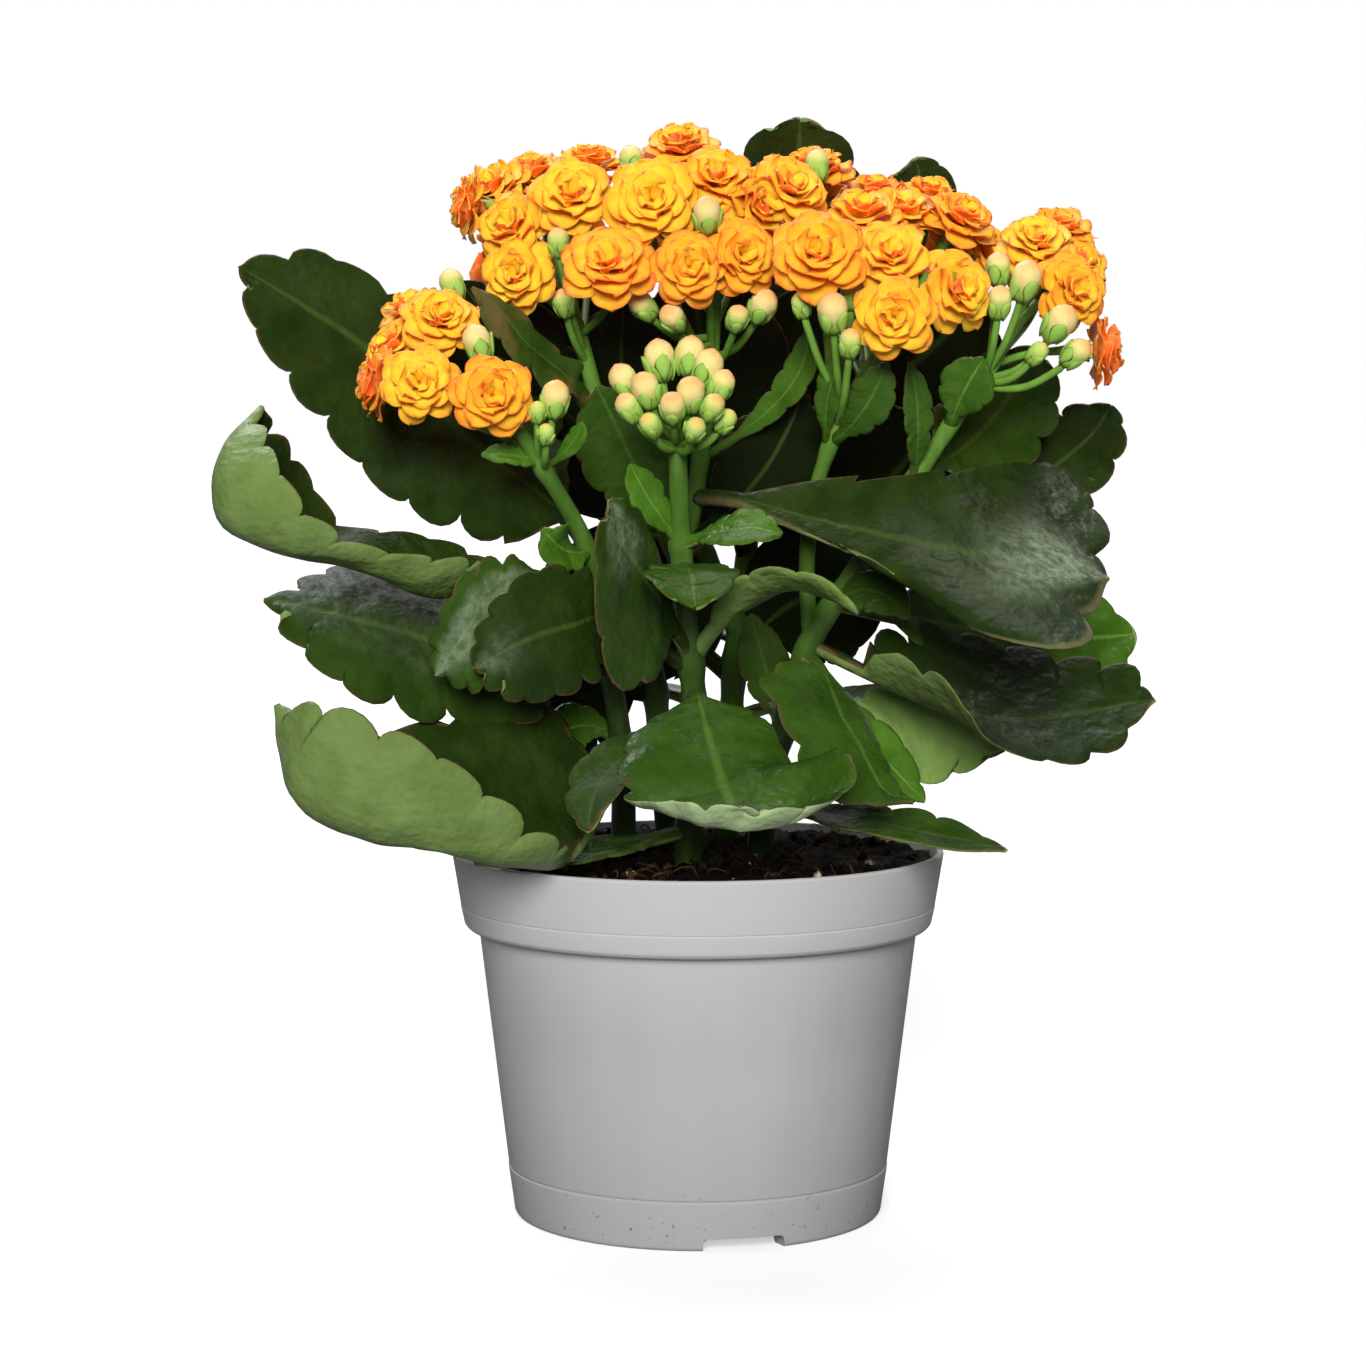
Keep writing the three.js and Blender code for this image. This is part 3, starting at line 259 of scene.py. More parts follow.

# The broad leaves in front. Each grows from a stem at a height. Its rib runs from the foot of the blade to
# the tip, and its left and right edges, seen from the foot with the upper face up, run beside it. The
# notches between its lobes have a depth, and a dish over 2 bends the blade more towards its edges. Its tone
# is 0 for an old dark leaf and 1 for a young bright one. The rest are looks, from 0 to 1: the wrinkling one
# crumples the upper face from a share of the length on and lays a painted sheen on it, roll browns its right
# edge, flush all of it, and pale lightens its back.
BROAD_LEAVES = [
    dict(
        on="left", at=160, lobes=7, notch=4.4, tone=0.05,
        rib=[(-32, -20, 171), (-55, -8, 189), (-79, -4, 210), (-110, -6, 230)],
        left=[(-47, -14, 165), (-71, -10, 173), (-93, -12, 195), (-104, -14, 212), (-109, -10, 224)],
        right=[(-33, -4, 193), (-55, 2, 215), (-75, 2, 226), (-91, -2, 234), (-105, -4, 233)],
    ),
    dict(
        on="left", at=152, lobes=7, notch=4.2, tone=0.1,
        rib=[
            (-46, -34, 156), (-62, -42, 154), (-80, -48, 161), (-96, -52, 164), (-108, -52, 171),
            (-109, -48, 185), (-100, -42, 196),
        ],
        left=[(-52, -46, 162), (-71, -56, 164), (-83, -61, 170), (-92, -60, 180), (-97, -52, 189)],
        right=[(-52, -22, 162), (-69, -24, 167), (-83, -26, 170), (-92, -28, 182), (-97, -34, 191)],
    ),
    dict(
        on="left", at=134, lobes=6, notch=6, tone=0.15, shine=0.5, crumple=0.1, crumple_from=0.25,
        rib=[(-36, -26, 138), (-56, -30, 140), (-76, -38, 146), (-100, -42, 152)],
        left=[(-37, -32, 124), (-60, -42, 123), (-80, -50, 131), (-95, -48, 144)],
        right=[(-47, -4, 148), (-64, -2, 154), (-82, -12, 158), (-94, -28, 156)],
    ),
    dict(
        on="left", at=112, lobes=6, notch=5.4, tone=0.05,
        rib=[
            (-29, -45, 94), (-41, -56, 93), (-58, -64, 98), (-78, -66, 101), (-90, -64, 108),
            (-94, -62, 119), (-95, -60, 129),
        ],
        left=[(-31, -60, 99), (-44, -70, 110), (-57, -75, 120), (-70, -75, 127), (-83, -72, 131)],
        right=[(-23, -30, 104), (-29, -28, 121), (-44, -32, 129), (-62, -40, 124), (-82, -50, 123)],
    ),
    dict(
        on="left", at=150, lobes=5, tone=0.3, crumple=0.5, crumple_from=0.2,
        rib=[(-38, -40, 157), (-48, -46, 153), (-54, -50, 144), (-60, -51, 135)],
        left=[(-40, -42, 151), (-44, -48, 143), (-51, -50, 131)],
        right=[(-44, -43, 162), (-53, -48, 159), (-59, -50, 150), (-62, -50, 141)],
    ),
    dict(
        on="front", at=134, lobes=6, tone=0.05, crumple=0.3, crumple_from=0.75,
        rib=[(-20, -34, 147), (-30, -44, 146), (-40, -50, 143), (-51, -54, 137)],
        left=[(-23, -42, 134), (-32, -48, 130), (-41, -53, 129), (-48, -55, 132)],
        right=[(-25, -38, 158), (-38, -44, 159), (-48, -50, 151), (-52, -53, 142)],
    ),
    dict(
        on="front", at=138, lobes=4, tone=0.15, crumple=0.5, crumple_from=0.6,
        rib=[(-6, -28, 145), (-11, -36, 154), (-16, -42, 162), (-19, -44, 169), (-20, -42, 175)],
        left=[(-10, -40, 134), (-17, -46, 131), (-23, -50, 141), (-24, -52, 155), (-23, -50, 168)],
        right=[(-7, -26, 151), (-10, -30, 161), (-12, -34, 170), (-16, -38, 175)],
    ),
    dict(
        on="front", at=127, lobes=6, dish=4, tone=0.45, pale=0.7,
        rib=[(0, -32, 128), (3, -48, 118), (7, -64, 107), (9, -72, 103), (9, -79, 109)],
        left=[
            (12, -36, 125), (18, -43, 120), (24, -50, 111), (29, -58, 117), (34, -64, 120), (35, -70, 112),
            (27, -77, 109),
        ],
        right=[(-11, -38, 123), (-18, -46, 115), (-17, -60, 109), (-10, -72, 108), (0, -78, 109)],
    ),
    dict(
        on="right", at=137, lobes=5, tone=0.4,
        rib=[(29, -22, 134), (33, -34, 125), (38, -44, 116), (43, -50, 108), (49, -52, 106)],
        left=[(36, -24, 127), (41, -34, 119), (45, -46, 110)],
        right=[
            (22, -24, 136), (15, -30, 133), (18, -38, 127), (21, -46, 119), (25, -52, 111), (34, -54, 106),
        ],
    ),
    dict(
        on="right", at=124, lobes=4, tone=1,
        rib=[(37, -2, 124), (49, 2, 117), (62, 8, 112), (76, 12, 112)],
        left=[(40, -6, 111), (50, -2, 105), (64, 6, 106)],
        right=[(45, 4, 128), (60, 10, 128), (73, 12, 121)],
    ),
    dict(
        on="right", at=140, lobes=6, notch=6, tone=0.05, shine=0.4,
        rib=[(39, -16, 134), (56, -14, 126), (73, -8, 121), (93, 0, 122), (112, 6, 125)],
        left=[(44, -2, 142), (56, 4, 144), (72, 8, 140), (90, 10, 136), (107, 10, 133)],
        right=[
            (43, -24, 139), (53, -30, 137), (61, -34, 130), (68, -30, 118), (84, -20, 112), (101, -8, 114),
        ],
    ),
    dict(
        on="inner", at=175, lobes=4, notch=6, tone=0.05, shine=0.7, crumple=1, crumple_from=0.66, roll=0.7,
        rib=[(11, -15, 174), (35, -28, 168), (60, -36, 163), (82, -32, 160), (96, -28, 156)],
        left=[(22, -18, 177), (34, -21, 179), (48, -18, 180), (72, -4, 183), (89, 10, 183), (98, -6, 168)],
        right=[(19, -22, 170), (35, -32, 164), (52, -46, 153), (68, -60, 144), (86, -62, 142)],
    ),
    dict(
        on="middle", at=190, lobes=3, tone=0.25, flush=0.6,
        rib=[(-29, -18, 201), (-40, -24, 211), (-46, -26, 218), (-53, -26, 224)],
        left=[(-33, -24, 199), (-43, -28, 207), (-50, -29, 216)],
        right=[(-28, -18, 206), (-35, -20, 211), (-43, -23, 220)],
    ),
]

# A leaf grows from a stem at a height. Its rib bends through a middle point to its tip. Then come the
# blade's width, the way its upper face looks, how far its halves curl up, in degrees, its lobes on each
# side, and its tone: -1 is a leaf in deep shade, darkened with painted shade, 0 an old dark one, 1 a young
# bright one. The lower the number in full, the fuller the blade's outline.
LEAVES = [
    ("front", 158, (-2, -44, 158), (-1, -58, 151), 23, (0, -0.1, 1), 15, 3, 0.5, {}),
    ("front", 136, (16, -30, 154), (37, -38, 149), 20, (0, 0.35, 0.9), (30, 20), 3, 0.5, {}),
    ("front", 96, (-27, -32, 92), (-52, -42, 91), 18, (0, -0.2, 1), 10, 4, 0.6, {}),
    ("front", 122, (-19, -43, 114), (-25, -63, 101), 18, (-0.4, -0.8, 0.5), 20, 3, 0.2, {"shine": 0.4}),
    ("right", 132, (38, -24, 119), (53, -32, 104), 14, (0, -0.8, 0.6), 15, 3, 0.8, {}),
    ("right", 101, (42, -36, 99), (71, -42, 94), 20, (0, -0.3, 1), 20, 3, 0.35, {}),
    ("right", 150, (78, 22, 140), (111, 36, 139), 36, (0, -0.9, 0.5), 8, 4, 0.8, {"full": 0.45}),
    ("right", 164, (84, 20, 179), (103, 24, 197), 25, (0, -0.9, 0.4), 14, 4, 0, {"full": 0.42}),
    ("right", 180, (71, 12, 192), (82, 14, 211), 30, (0, -1, 0.2), 8, 4, 0.2, {"full": 0.45}),
    ("middle", 182, (-41, 9, 206), (-58, 10, 227), 26, (0, -1, 0.2), 8, 3, -1, {}),
    ("middle", 176, (-19, 8, 206), (-18, 6, 222), 22, (0.2, -1, 0.2), 8, 3, -1, {}),
    ("inner", 158, (-16, -12, 184), (-24, -16, 201), 25, (0.1, -1, 0.2), 8, 4, 0.35, {}),
    ("inner", 162, (15, -4, 180), (25, 0, 200), 26, (0, -1, 0.3), 8, 4, -1, {}),
    ("middle", 126, (-26, -2, 127), (-41, -6, 118), 28, (0, -1, 0.3), 8, 4, -0.5, {"full": 0.5}),
    ("middle", 128, (-52, 20, 138), (-92, 28, 146), 40, (0.2, 0.1, 1), 12, 5, 0.2, {}),
    ("middle", 112, (-46, 12, 110), (-76, 18, 104), 36, (0, 0.1, 1), 12, 4, 0.3, {}),
    ("far", 166, (-20, 26, 192), (-32, 24, 228), 50, (0, -1, 0.1), 8, 3, -1, {"full": 0.42}),
    ("back", 158, (6, 24, 188), (-2, 22, 230), 48, (0, -1, 0.1), 8, 3, -1, {"full": 0.42}),
    ("back", 172, (30, 33, 198), (34, 33, 230), 46, (0, -1, 0.1), 8, 3, -1, {"full": 0.42}),
    ("back", 182, (50, 34, 204), (70, 32, 224), 40, (0, -1, 0.1), 8, 3, -1, {"full": 0.42}),
    ("back", 150, (42, 28, 172), (60, 28, 196), 42, (0, -1, 0.3), 8, 3, -1, {"full": 0.42}),
    ("back", 128, (-12, 35, 144), (-38, 36, 156), 42, (0, -1, 0.3), 8, 3, -1, {"full": 0.45}),
    ("back", 134, (28, 20, 150), (50, 14, 154), 40, (0, -1, 0.3), 8, 3, -1, {"full": 0.45}),
    ("back", 196, (25, 68, 240), (27, 70, 272), 37, (0, -1, 0.2), 8, 4, 0, {"full": 0.34}),
    ("back", 208, (52, 64, 240), (57, 66, 261), 24, (0, -1, 0.2), 8, 3, 0, {"full": 0.4}),
    ("back", 118, (40, 52, 122), (66, 62, 112), 42, (0.1, 0.2, 1), 12, 5, 0.3, {}),
    ("back", 118, (-24, 50, 126), (-56, 62, 116), 42, (-0.1, 0.2, 1), 12, 5, 0.3, {}),
    ("back", 132, (14, 56, 142), (16, 76, 136), 40, (0, 0.3, 1), 12, 4, 0.35, {}),
    ("back", 152, (52, 50, 172), (82, 56, 184), 38, (-0.3, -0.3, 0.9), 12, 5, 0.25, {}),
    ("far", 160, (-42, 46, 178), (-78, 50, 192), 40, (0.3, -0.3, 0.9), 12, 5, 0.2, {}),
]

# The toothed bracts and small leaves
BRACTS = [
    ("front", 164, (-11, -33, 174), (-16, -34, 183), 10, (0.4, -1, 0.2), 15, 3, 1, {}),
    ("front", 164, (8, -38, 168), (19, -42, 167), 14, (0, -0.7, 0.8), 15, 4, 0.9, {}),
    ("left", 116, (-29, -13, 120), (-40, -20, 112), 13, (0.3, -0.8, 0.5), 20, 4, 0.8, {}),
    ("left", 182, (-42, -38, 185), (-50, -41, 185), 8, (0, -0.7, 0.7), 15, 3, 1, {}),
    ("left", 182, (-29, -36, 188), (-27, -37, 193), 6, (-0.5, -0.8, 0.3), 15, 2, 1, {}),
    ("left", 162, (-31, -34, 163), (-36, -38, 168), 13, (-0.1, -0.9, 0.5), 15, 3, 0.8, {}),
    ("right", 192, (63, -15, 200), (68, -14, 208), 14, (0, -1, 0.2), 10, 3, 0.7, {}),
    ("right", 178, (52, -16, 192), (50, -18, 207), 9, (0.5, -0.9, 0), 20, 4, 0.6, {}),
    ("right", 146, (40, -16, 153), (50, -18, 146), 13, (0, -0.8, 0.5), 10, 3, 0.2, {}),
    ("right", 118, (17, 2, 131), (13, 6, 146), 13, (0, -1, 0.3), 10, 3, 0.2, {}),
    ("upright", 188, (39, -22, 196), (44, -24, 207), 12, (0.2, -0.9, 0.2), 15, 4, 0.5, {}),
    ("upright", 186, (31, -20, 200), (37, -20, 212), 8, (-0.3, -0.9, 0.2), 20, 3, 0.6, {}),
    ("inner", 184, (21, -8, 200), (26, -10, 216), 9, (-0.3, -0.9, 0.2), 20, 4, 0.6, {}),
]

# The flower heads, each at the top of a stem. A bloom is the middle of its rosette and the way it looks:
# degrees round from the front, to the right, and degrees up, and its size. A bud is its middle and its size.
HEADS = {
    "left": dict(
        on="left", stretch=12,
        blooms=[
            (-76, -30, 202, -75, 5, 0.88), (-72, -21, 211, -50, 35, 0.9), (-68, -12, 220, -40, 60, 0.9),
            (-60, -30, 217, 10, 38, 0.95), (-64, -43, 202, 0, 15, 0.88), (-47, -47, 199, 8, 8, 0.95),
        ],
        buds=[
            (-51, -36, 211, 1), (-37, -43, 195, 0.6), (-33, -42, 198, 1), (-35, -44, 190, 0.6),
            (-58, -18, 225, 0.9),
        ],
    ),
    "front": dict(
        on="front", stretch=4,
        blooms=[],
        buds=[
            (-17, -38, 202, 1), (-9, -34, 207, 1.1), (-2, -34, 208, 1.05), (2, -38, 205, 1.05),
            (-12, -44, 200, 1), (-6, -49, 196, 0.9), (-2, -47, 199, 1), (5, -40, 201, 0.9),
            (3, -47, 196, 0.8), (-16, -43, 196, 0.85), (-11, -47, 192, 0.75), (-1, -49, 191, 0.75),
            (6, -43, 193, 0.7),
        ],
    ),
    "top_left": dict(
        on="middle",
        blooms=[
            (-56, -1, 245, -80, 5, 0.85), (-50, 8, 250, -45, 40, 0.95), (-45, -9, 240, -25, 20, 0.92),
            (-41, 14, 254, -30, 65, 0.95), (-30, -12, 247, 0, 25, 1), (-43, -15, 228, -15, 10, 0.92),
            (-21, -26, 230, 0, 35, 1.12), (-27, 18, 257, 0, 75, 0.95),
        ],
        buds=[
            (-33, -18, 235, 0.8), (-32, -12, 221, 0.8),
        ],
    ),
    "top": dict(
        on="inner",
        blooms=[
            (-11, -18, 245, 0, 15, 1.12), (-4, 8, 260, -10, 60, 1), (4, -9, 251, 5, 40, 1.02),
            (14, -8, 244, 50, 15, 1), (-2, -27, 229, 5, 10, 0.92), (10, -24, 232, 20, 10, 0.95),
            (22, -4, 249, 30, 35, 1.05),
        ],
        buds=[
            (-13, -20, 220, 0.9), (-6, -24, 217, 0.9), (2, -25, 241, 1), (15, -20, 220, 1),
            (9, -23, 217, 0.8), (-16, 8, 256, 0.9),
        ],
    ),
    "top_right": dict(
        on="upright",
        blooms=[
            (28, -30, 232, -5, 20, 1.14), (45, -26, 232, 0, 35, 0.98), (45, -37, 217, 0, 5, 0.97),
            (61, -24, 224, 35, 10, 1), (40, 0, 243, 0, 60, 1.05), (50, 6, 244, 10, 60, 1),
            (29, 18, 256, -10, 70, 0.95), (44, 24, 250, 10, 75, 0.95), (57, 21, 249, 20, 70, 0.95),
            (64, 6, 243, 40, 50, 1), (72, 15, 235, 55, 40, 0.95),
        ],
        buds=[
            (24, -27, 220, 0.7), (31, -34, 218, 1.1), (36, -24, 223, 0.9), (35, -34, 211, 0.8),
            (29, 8, 255, 0.9),
        ],
    ),
    "right": dict(
        on="right", stretch=9,
        blooms=[
            (81, -5, 236, 0, 45, 0.95), (88, 6, 240, 20, 60, 0.95), (92, 0, 231, 45, 30, 0.95),
            (89, -13, 224, 30, 10, 0.95), (98, -5, 210, 90, 0, 0.88), (90, 20, 228, 150, 20, 0.95),
        ],
        buds=[
            (71, -14, 229, 0.9), (77, -19, 226, 1.1), (71, -18, 221, 0.9), (85, -20, 216, 1.1),
            (80, -18, 209, 0.7), (89, -19, 209, 0.9),
        ],
    ),
    "back_right": dict(
        on="back",
        blooms=[
            (31, 42, 253, 180, 75, 1), (48, 44, 244, 140, 40, 1), (14, 46, 249, -160, 50, 1),
            (4, 56, 236, -170, 25, 1), (64, 36, 236, 110, 25, 1),
        ],
        buds=[
            (13, 53, 228, 1), (51, 52, 226, 0.9),
        ],
    ),
    "back_left": dict(
        on="far",
        blooms=[
            (-30, 42, 252, -170, 65, 1), (-48, 38, 243, -120, 40, 1), (-13, 46, 246, 170, 40, 1),
            (-32, 58, 237, -170, 10, 1), (-52, 54, 230, -130, 10, 1),
        ],
        buds=[
            (-44, 57, 243, 1), (-17, 57, 235, 0.9),
        ],
    ),
}

# A rosette's layers of petals, from the outermost in: how many, their length and width, how high on the
# tube they start, and how far they lean from the bloom's axis at the base and at the tip, in degrees
PETAL_LAYERS = [
    (6, 9.6, 8.2, 4.6, 58, 106),
    (5, 9.0, 8.6, 5.0, 47, 88),
    (5, 7.9, 8.0, 5.6, 36, 70),
    (4, 6.9, 7.4, 6.1, 26, 52),
    (4, 5.8, 5.8, 6.5, 12, 30),
]


def unit(v):
    """Vectors of length 1."""
    return v / np.linalg.norm(v, axis=-1, keepdims=True)


def smooth(x):
    """0 below 0, 1 above 1, and a soft step between."""
    x = np.clip(x, 0, 1)
    return x * x * (3 - 2 * x)


def sweep(columns):
    """Numbers from -1 to 1, closer together towards both ends."""
    return np.sin(np.linspace(-math.pi / 2, math.pi / 2, columns))


def angles_round(count):
    """Even angles round a circle."""
    return np.arange(count) / count * TURN


def run_along(points):
    """How far along a line of points each one lies."""
    return np.concatenate([[0], np.cumsum(np.linalg.norm(np.diff(points, axis=0), axis=1))])


def between(at, marks, points):
    """Points read off a line of points by a number that grows along it."""
    return np.stack([np.interp(at, marks, points[:, k]) for k in range(3)], -1)


def bent(shares, angle):
    """How far ahead and aside a strip of length 1 has got that turns by these angles on its way."""
    fine = np.linspace(0, 1, len(angle))
    step = np.diff(fine, prepend=0)
    return [np.interp(shares, fine, np.cumsum(part(angle) * step)) for part in (np.cos, np.sin)]


def shifted(points, ways, amounts):
    """Rows of points moved by amounts, along a way for each row or for each point."""
    ways = ways[:, None] if ways.ndim == 2 else ways
    return points + ways * amounts[..., None]


def spun(points, angle):
    """Points turned round +Z."""
    c, s = math.cos(angle), math.sin(angle)
    return points @ np.array([[c, s, 0], [-s, c, 0], [0, 0, 1]])


def wrapped(upper, lower=None):
    """Values across the upper face of a blade, then back across its lower face."""
    lower = upper if lower is None else lower
    axis = min(upper.ndim - 1, 1)
    back = np.take(lower, np.arange(lower.shape[axis] - 2, 0, -1), axis)
    return np.concatenate([upper, back], axis)


def facing(columns):
    """1 at the points of a blade's upper face, 0 at those of its lower face."""
    return np.concatenate([np.ones(columns - 1), [0.5], np.zeros(columns - 2)])


def shade_smooth(mesh):
    """Shades all faces of a mesh smooth."""
    mesh.polygons.foreach_set("use_smooth", np.ones(len(mesh.polygons), bool))


def placed(name, data):
    """A new object in the scene."""
    made = bpy.data.objects.new(name, data)
    bpy.context.scene.collection.objects.link(made)
    return made


class Form:
    """Points, faces and named numbers at the points, gathered from many closed skins."""

    def __init__(self):
        self.points, self.faces, self.values, self.count = [], [], {}, 0

    def skin(self, rings, **values):
        """Adds a closed skin over rings of points, each ring counter-clockwise seen from the end."""
        rings = np.asarray(rings, float)
        rows, sides = rings.shape[:2]
        start = self.count + np.arange(rows - 1)[:, None] * sides
        here = np.arange(sides)
        after = (here + 1) % sides
        quads = np.stack([start + here, start + after, start + sides + after, start + sides + here], -1)
        self.faces += quads.reshape(-1, 4).tolist()
        self.faces.append([self.count + i for i in reversed(range(sides))])
        self.faces.append([self.count + (rows - 1) * sides + i for i in range(sides)])
        self.points.append(rings.reshape(-1, 3))
        self.count += rows * sides
        for name, value in values.items():
            spread = np.broadcast_to(np.asarray(value, float), (rows, sides))
            self.values.setdefault(name, []).append(spread.reshape(-1))

    def mesh(self, name):
        """The mesh, in metres."""
        mesh = bpy.data.meshes.new(name)
        mesh.from_pydata((np.concatenate(self.points) * MM).tolist(), [], self.faces)
        return mesh

    def piece(self, name, looks, slot, replaced=()):
        """Makes the Blender object, which rides on the one body of the row."""
        mesh = self.mesh(name)
        for key, parts in self.values.items():
            attribute = mesh.attributes.new(key, "FLOAT", "POINT")
            attribute.data.foreach_set("value", np.concatenate(parts).astype(np.float32))
        shade_smooth(mesh)
        mesh.materials.append(looks)
        made = placed(name, mesh)
        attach(made, "root")
        if replaced:
            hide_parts(*replaced)
        return made


def spline(points, shares):
    """Points of a smooth curve through a list of points, at shares of the way counted in points."""
    p = np.array(points, float)
    p = np.vstack([2 * p[0] - p[1], p, 2 * p[-1] - p[-2]])
    at = np.clip(shares, 0, 1) * (len(points) - 1)
    i = np.minimum(at.astype(int), len(points) - 2)
    t = (at - i)[:, None]
    a, b, c, d = p[i], p[i + 1], p[i + 2], p[i + 3]
    m, n = (c - a) / 2, (d - b) / 2
    return (2 * b - 2 * c + m + n) * t ** 3 + (3 * c - 3 * b - 2 * m - n) * t ** 2 + m * t + b


def along_spline(points, shares):
    """Points of a smooth curve at shares of its length."""
    fine = spline(points, np.linspace(0, 1, CURVE_STEPS))
    run = run_along(fine)
    return between(shares * run[-1], run, fine)


def circles(path, radii, sides, ripple=None):
    """Rings round a path, turned as little as possible from one to the next."""
    path = np.asarray(path, float)
    along = unit(np.gradient(path, axis=0))
    normal = unit(np.cross(along[0], (0.3, 0.9, 0.2)))
    angle = angles_round(sides)
    rings = []
    for point, axis, radius in zip(path, along, radii):
        normal = unit(normal - axis * (normal @ axis))
        across = np.cross(axis, normal)
        around = np.outer(np.cos(angle), normal) + np.outer(np.sin(angle), across)
        rings.append(point + around * radius)
    rings = np.array(rings)
    if ripple is not None:
        rings = path[:, None] + (rings - path[:, None]) * ripple[..., None]
    return rings


def stem_point(stem, height):
    """The middle of a stem at a height."""
    fine = spline(STEMS[stem]["path"], np.linspace(0, 1, STEM_STEPS))
    return between(height, fine[:, 2], fine)


def lobe_rise(lobes, along):
    """1 where a lobe stands out most, 0 in the notch between two."""
    phase = (along - LOBES_START) / (1 - LOBES_START) * (lobes + TIP_LOBE)
    phase = np.minimum(phase, lobes + TIP_LOBE)
    return np.where(phase <= 0, 1, np.sqrt(np.abs(np.sin(math.pi * np.maximum(phase, 0)))))


def notches(lobes, share, width, deep):
    """How deep the notches between the lobes cut into each row's edge, in mm."""
    uneven = NOTCH_MEAN + NOTCH_SWING * np.sin(share * lobes * NOTCH_WAVE + width)
    return deep * uneven * (1 - lobe_rise(lobes, share))


def blade_rows(lobes, per_lobe, length, half):
    """Cross-sections of a blade, close together at notches and tip. Gives each row's share of the way along
    the outline, its share of the way along the rib, and how far the outline faces forward there."""
    steps = np.arange(per_lobe) / per_lobe
    eased = (1 - np.cos(math.pi * steps)) / 2
    phases = np.concatenate([lobe + eased for lobe in range(lobes)])
    last = lobes + TIP_LOBE * np.sin(np.linspace(0, 1, per_lobe + 2) * math.pi / 2)
    share = LOBES_START + (1 - LOBES_START) * np.concatenate([phases, last]) / (lobes + TIP_LOBE)
    share = np.concatenate([np.linspace(0, LOBES_START, FOOT_ROWS)[:-1], share])
    fine = np.linspace(0, 1, CURVE_STEPS)
    shape = half(fine)
    run = np.concatenate([[0], np.cumsum(np.hypot(np.diff(fine) * length, np.diff(shape)))])
    blade = np.interp(share * run[-1], run, fine)
    slope = np.interp(blade, fine, np.gradient(shape, fine))
    forward = np.clip(-slope / np.hypot(slope, length), 0, 1)
    return share, blade, forward


def with_petiole(rows, petiole):
    """The same, with the rows of the leaf's stalk in front, and shares of the way along the whole rib."""
    share, blade, forward = (np.concatenate([np.zeros(PETIOLE_ROWS), row]) for row in rows)
    t = petiole + (1 - petiole) * blade
    t[:PETIOLE_ROWS] = np.linspace(0, petiole, PETIOLE_ROWS + 1)[:-1]
    return t, share, blade, forward


def trimmed(depth, forward, half, most):
    """How much of a row's width is left where a notch cuts into it from the side."""
    return (1 - np.minimum(depth * (1 - forward) / np.maximum(half, 1), most))[:, None]


def row_grid(row, columns):
    """The middle layer of a leaf whose halves are alike: rows of points across it, from foot to tip."""
    on, at, middle, tip, width, face, cup, lobes, tone, more = row
    base, middle, tip = stem_point(on, at), np.array(middle, float), np.array(tip, float)

    def swell(blade):
        bulge = np.clip(np.sin(math.pi * blade), 0, 1)
        return width / 2 * bulge ** more.get("full", BLADE_FULLNESS)

    length = (np.linalg.norm(middle - base) + np.linalg.norm(tip - middle)) * (1 - PETIOLE_SHARE)
    per_lobe = SMALL_ROWS_PER_LOBE if width <= BRACT_WIDTH else ROWS_PER_LOBE
    rows = blade_rows(lobes, per_lobe, length, swell)
    t, share, blade, forward = with_petiole(rows, PETIOLE_SHARE)
    s = t[:, None]
    point = (1 - s) * (1 - 2 * s) * base + 4 * s * (1 - s) * middle + s * (2 * s - 1) * tip
    along = unit((4 * s - 3) * base + (4 - 8 * s) * middle + (4 * s - 1) * tip)
    side = unit(np.cross(along, face))
    normal = np.cross(side, along)

    petiole = min(PETIOLE_HALF_WIDTH, width * PETIOLE_WIDTH_SHARE)
    half = np.maximum(np.maximum(swell(blade), petiole * (1 - blade)), LEAST_HALF_WIDTH)
    depth = notches(lobes, share, half.max(), min(NOTCH_DEPTH, width * NOTCH_WIDTH_SHARE))
    c = sweep(columns) * trimmed(depth, forward, half, 0.35)
    out, lift = np.zeros_like(c), np.zeros_like(c)
    for sign, curl in zip((-1, 1), np.broadcast_to(cup, 2)):
        mine = np.sign(c) == sign
        ahead, aside = bent(np.abs(c[mine]), np.radians(curl * np.linspace(0, 1, BEND_STEPS)))
        out[mine], lift[mine] = sign * ahead, aside
    mid = shifted(point[:, None], side, half[:, None] * out)
    mid = shifted(mid, normal, half[:, None] * lift)
    mid = shifted(mid, -along, (depth * forward)[:, None] * c ** 2)
    return mid, t, blade, PETIOLE_SHARE, petiole, half


